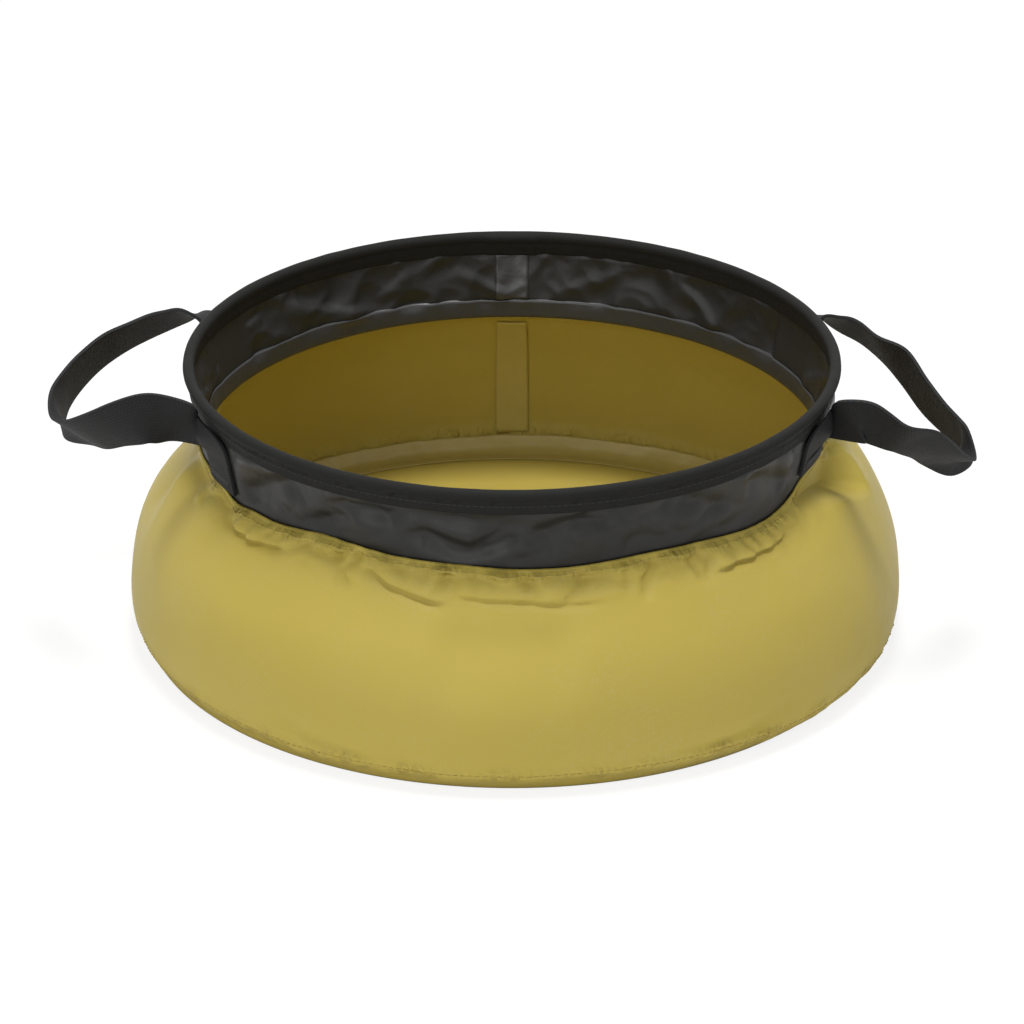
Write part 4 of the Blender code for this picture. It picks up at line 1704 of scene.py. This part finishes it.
@dataclass
class Studio:
    """The plain floor, the soft light and the camera."""

    elevation: float = math.radians(25.82)
    distance: float = 1.8
    aim_height: float = 0.0485
    lens: float = 139.14
    floor_shadow: float = 0.22
    floor_glow: float = 1.07
    sky: float = 0.45
    # Name, place, side in metres and power in watts of each lamp
    lamps: tuple[tuple[str, tuple[float, float, float], float, float], ...] = (
        ("overhead", (0.05, 0.0, 1.7), 0.5, 23.5),
        ("front", (-0.8, -1.95, 0.9), 1.1, 12.5),
    )

    def floor(self) -> bpy.types.Object:
        """A pale floor that the camera sees as white where no shadow falls.

        Returns:
            The floor.
        """
        work = bmesh.new()
        bmesh.ops.create_grid(work, x_segments=1, y_segments=1, size=6)
        bmesh.ops.translate(work, verts=work.verts, vec=(0, 0, -0.0004))
        ground = finished("floor", work)
        material = bpy.data.materials.new("pale_floor")
        material.use_nodes = True
        w = Wiring(material.node_tree)
        shader = material.node_tree.nodes["Principled BSDF"]
        w.fill(shader, Base_Color=(0.86, 0.86, 0.86, 1), Roughness=0.9, Specular_IOR_Level=0.0)
        glow = w.node("ShaderNodeEmission")
        w.fill(glow, Color=(1, 1, 1, 1), Strength=self.floor_glow)
        rays = w.node("ShaderNodeLightPath")
        seen = w.math("MULTIPLY", rays.outputs["Is Camera Ray"], 1 - self.floor_shadow)
        blend = w.node("ShaderNodeMixShader")
        for socket, value in zip(blend.inputs, (seen, shader.outputs[0], glow.outputs[0])):
            w.put(socket, value)
        w.put(material.node_tree.nodes["Material Output"].inputs["Surface"], blend.outputs[0])
        ground.data.materials.append(material)
        return ground

    def world(self) -> None:
        """A pale sky: white where it is seen or mirrored, dimmer where it lights."""
        world = bpy.data.worlds.new("studio")
        bpy.context.scene.world = world
        world.use_nodes = True
        w = Wiring(world.node_tree)
        sky = world.node_tree.nodes["Background"]
        rays = w.node("ShaderNodeLightPath")
        shown = w.math("MAXIMUM", rays.outputs["Is Camera Ray"], rays.outputs["Is Transmission Ray"])
        shown = w.math("MAXIMUM", shown, rays.outputs["Is Glossy Ray"])
        w.fill(sky, Color=(1, 1, 1, 1), Strength=w.spread(shown, self.sky, 1.0))

    @staticmethod
    def lamp(name: str, place: tuple[float, float, float], size: float, power: float) -> None:
        """A square soft lamp that faces the bowl.

        Args:
            name: Name of the lamp.
            place: Where it stands.
            size: Its side in metres.
            power: Its power in watts.
        """
        data = bpy.data.lights.new(name, "AREA")
        data.shape = "SQUARE"
        data.size = size
        data.energy = power
        lamp = bpy.data.objects.new(name, data)
        lamp.location = place
        lamp.rotation_euler = (Vector((0, 0, 0.06)) - Vector(place)).to_track_quat("-Z", "Y").to_euler()
        bpy.context.scene.collection.objects.link(lamp)

    def camera(self) -> None:
        """The camera at the photograph's angle."""
        data = bpy.data.cameras.new("camera")
        data.lens = self.lens
        data.sensor_width = 36
        data.clip_end = 50
        eye = bpy.data.objects.new("camera", data)
        back = self.distance * math.cos(self.elevation)
        eye.location = (0, -back, self.aim_height + self.distance * math.sin(self.elevation))
        eye.rotation_euler = (math.pi / 2 - self.elevation, 0, 0)
        bpy.context.scene.collection.objects.link(eye)
        bpy.context.scene.camera = eye

    def build(self) -> None:
        """Sets up the whole studio."""
        bpy.context.scene.view_settings.view_transform = "Standard"
        self.floor()
        self.world()
        for lamp in self.lamps:
            self.lamp(*lamp)
        self.camera()


# Round each loop: shares of its reach out, of the root's offset to the side and of its drop, and its lean in degrees,
# which turns the upper edge towards the bowl on the way out
LEFT_SHARES = (
    (0.0, -0.86, 0.1, 27), (0.14, -0.88, 0.0, 12), (0.25, -0.91, -0.08, 7), (0.37, -0.9, 0.05, 19),
    (0.54, -0.79, 0.37, 39), (0.7, -0.6, 0.76, 49), (0.82, -0.34, 1.0, 47), (0.94, -0.05, 1.05, 13),
    (0.92, 0.24, 0.91, -5), (0.84, 0.47, 0.74, -15), (0.7, 0.7, 0.53, -24), (0.53, 0.84, 0.35, -34),
    (0.38, 0.94, 0.22, -39), (0.25, 0.98, 0.11, -46), (0.16, 1.0, 0.03, -51), (0.1, 1.0, 0.01, -58),
)
RIGHT_SHARES = (
    (0.08, -0.91, 0.01, 26), (0.15, -0.92, -0.02, 21), (0.25, -0.94, 0.07, 27), (0.37, -0.97, 0.19, 42),
    (0.49, -0.92, 0.27, 50), (0.59, -0.8, 0.48, 65), (0.69, -0.63, 0.74, 77), (0.79, -0.41, 1.0, 73),
    (0.87, -0.24, 1.03, 17), (0.93, -0.06, 0.99, -19), (0.83, 0.16, 0.91, -21), (0.69, 0.41, 0.74, -15),
    (0.56, 0.65, 0.5, -16), (0.41, 0.82, 0.38, -35), (0.28, 0.94, 0.23, -41), (0.17, 0.98, 0.14, -48),
    (0.09, 0.99, 0.08, -57),
)

YELLOW_CLOTH = CoatedCloth("yellow_coated_nylon", (0.465, 0.366, 0.076), (0.395, 0.306, 0.055), 0.4, gloss=0.12)
BLACK_CLOTH = CoatedCloth(
    "black_coated_nylon", (0.018, 0.0178, 0.0165), (0.0125, 0.0124, 0.0112), 0.4, gloss=0.29, dust=0.01
)
BLACK_HEM = CoatedCloth(
    "black_hem_cloth", (0.019, 0.0189, 0.018), (0.0135, 0.0134, 0.0128), 0.58, pucker=0.0008, gloss=0.05, dust=0.01
)
BLACK_WEBBING = Webbing("black_webbing", (0.021, 0.0213, 0.0222), (0.013, 0.0132, 0.0138), 0.66)
YELLOW_THREAD = Thread("yellow_thread", (0.46, 0.36, 0.08), (0.36, 0.28, 0.06), 0.6)
BLACK_THREAD = Thread("black_thread", (0.02, 0.02, 0.02), (0.013, 0.013, 0.013), 0.6)
YELLOW_TAPE = SeamTape("yellow_seam_tape", (0.47, 0.38, 0.11), (0.42, 0.34, 0.09), 0.36)
BLACK_TAPE = SeamTape("black_seam_tape", (0.035, 0.035, 0.035), (0.025, 0.025, 0.025), 0.4)
STEEL = SpringSteel("spring_steel", (0.56, 0.56, 0.57), (0.3, 0.29, 0.28), 0.3)


@dataclass
class Washbasin:
    """The whole basin: builds its sub-assemblies and says what each piece rides on and stands for."""

    form: BowlForm = field(default_factory=BowlForm)
    # Distances out from the axis handed to bend as the start and end of a strap's bend; bend does not use them
    bend_starts: float = 0.137
    bend_ends: float = 0.16

    def settle(self, piece: bpy.types.Object, body: Body, *nodes: str) -> None:
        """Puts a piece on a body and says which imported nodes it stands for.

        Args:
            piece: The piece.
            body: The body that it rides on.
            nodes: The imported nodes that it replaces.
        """
        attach(piece, body.value)
        self.stand_for(piece, *nodes)

    def bend(self, piece: bpy.types.Object, bodies: tuple[Body, Body], start: Vector, end: Vector, *nodes: str) -> None:
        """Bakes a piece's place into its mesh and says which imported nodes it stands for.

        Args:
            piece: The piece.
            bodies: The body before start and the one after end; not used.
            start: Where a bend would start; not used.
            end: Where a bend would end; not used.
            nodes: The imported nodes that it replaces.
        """
        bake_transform(piece)
        self.stand_for(piece, *nodes)

    @staticmethod
    def stand_for(piece: bpy.types.Object, *nodes: str) -> None:
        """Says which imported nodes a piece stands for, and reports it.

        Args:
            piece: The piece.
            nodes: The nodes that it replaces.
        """
        if nodes:
            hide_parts(*nodes)
        faces = len(piece.data.polygons)
        LOG.info("%s: %d faces, stands for %s", piece.name, faces, ", ".join(nodes) or "no node")

    def walls(self) -> None:
        """Builds the two walls, the base and the tapes and stitches on them."""
        form = self.form
        upper = UpperWall(form)
        lower = LowerWall(form, upper)
        wall, waist_tape, side_tape = upper.build(BLACK_CLOTH, BLACK_TAPE)
        self.settle(wall, Body.RIM, "upper_wall")
        self.settle(waist_tape, Body.RIM, "waist_seam_tape")
        self.settle(side_tape, Body.RIM, "upper_seam_tape")

        skirt, base_tape, low_tape = lower.build(YELLOW_CLOTH, YELLOW_TAPE)
        floor, waist = Vector((0, 0, 0)), Vector((0, 0, form.waist_height))
        travel = (Body.BASE, Body.RIM)
        self.bend(skirt, travel, floor, waist, "lower_wall")
        self.settle(base_tape, Body.BASE, "base_seam_tape")
        self.bend(low_tape, travel, floor, waist, "lower_seam_tape")

        for name, height, node in (
            ("waist_stitches", form.waist_height - form.stitch_drop, "waist_stitching"),
            ("base_stitches", form.base_stitch_height, "base_stitching"),
        ):
            sewn = stitch_ring(name, lower, float(lower.share_at(height)), TOPSTITCH)
            YELLOW_THREAD.dress(sewn)
            self.bend(sewn, travel, floor, waist, node)

        panel = BasePanel(form).build(YELLOW_CLOTH)
        self.settle(panel, Body.BASE, "base_panel")

    def rim(self) -> None:
        """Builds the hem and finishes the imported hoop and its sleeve."""
        hem, sewn = Hem(self.form).build(BLACK_HEM, BLACK_THREAD)
        self.settle(hem, Body.RIM, "rim_binding")
        self.settle(sewn, Body.RIM, "rim_stitching")
        for name in ("rim_hoop", "hoop_ferrule"):
            STEEL.dress(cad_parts[name])
            LOG.info("%s: packed node with its own steel finish", name)

    def handles(self) -> None:
        """Builds the two straps with their sewn ends."""
        left = Handle(self.form, Side.LEFT, 0.0645, 0.02, 3.4, 77.0, LEFT_SHARES)
        right = Handle(self.form, Side.RIGHT, 0.0658, 0.0335, 0.0, 66.0, RIGHT_SHARES)
        for handle, body in ((left, Body.LEFT), (right, Body.RIGHT)):
            side = handle.side
            strap, tacks = handle.build(BLACK_WEBBING, BLACK_THREAD)
            name = f"handle_{side.name.lower()}"
            start = Vector((side.value * self.bend_starts, 0, 0))
            end = Vector((side.value * self.bend_ends, 0, 0))
            self.bend(strap, (Body.RIM, body), start, end, name, f"{name}_front_tail", f"{name}_back_tail")
            for end_name, tack in zip(End, tacks):
                self.settle(tack, Body.RIM, f"{name}_{end_name.name.lower()}_bar_tack")

    def build(self) -> None:
        """Builds every sub-assembly in order."""
        self.walls()
        self.rim()
        self.handles()


def main() -> None:
    """Builds the basin and its studio."""
    logging.basicConfig(level=logging.INFO, format="%(name)s: %(message)s", stream=sys.stdout)
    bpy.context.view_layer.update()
    Washbasin().build()
    Studio().build()


if __name__ == "__main__":
    main()
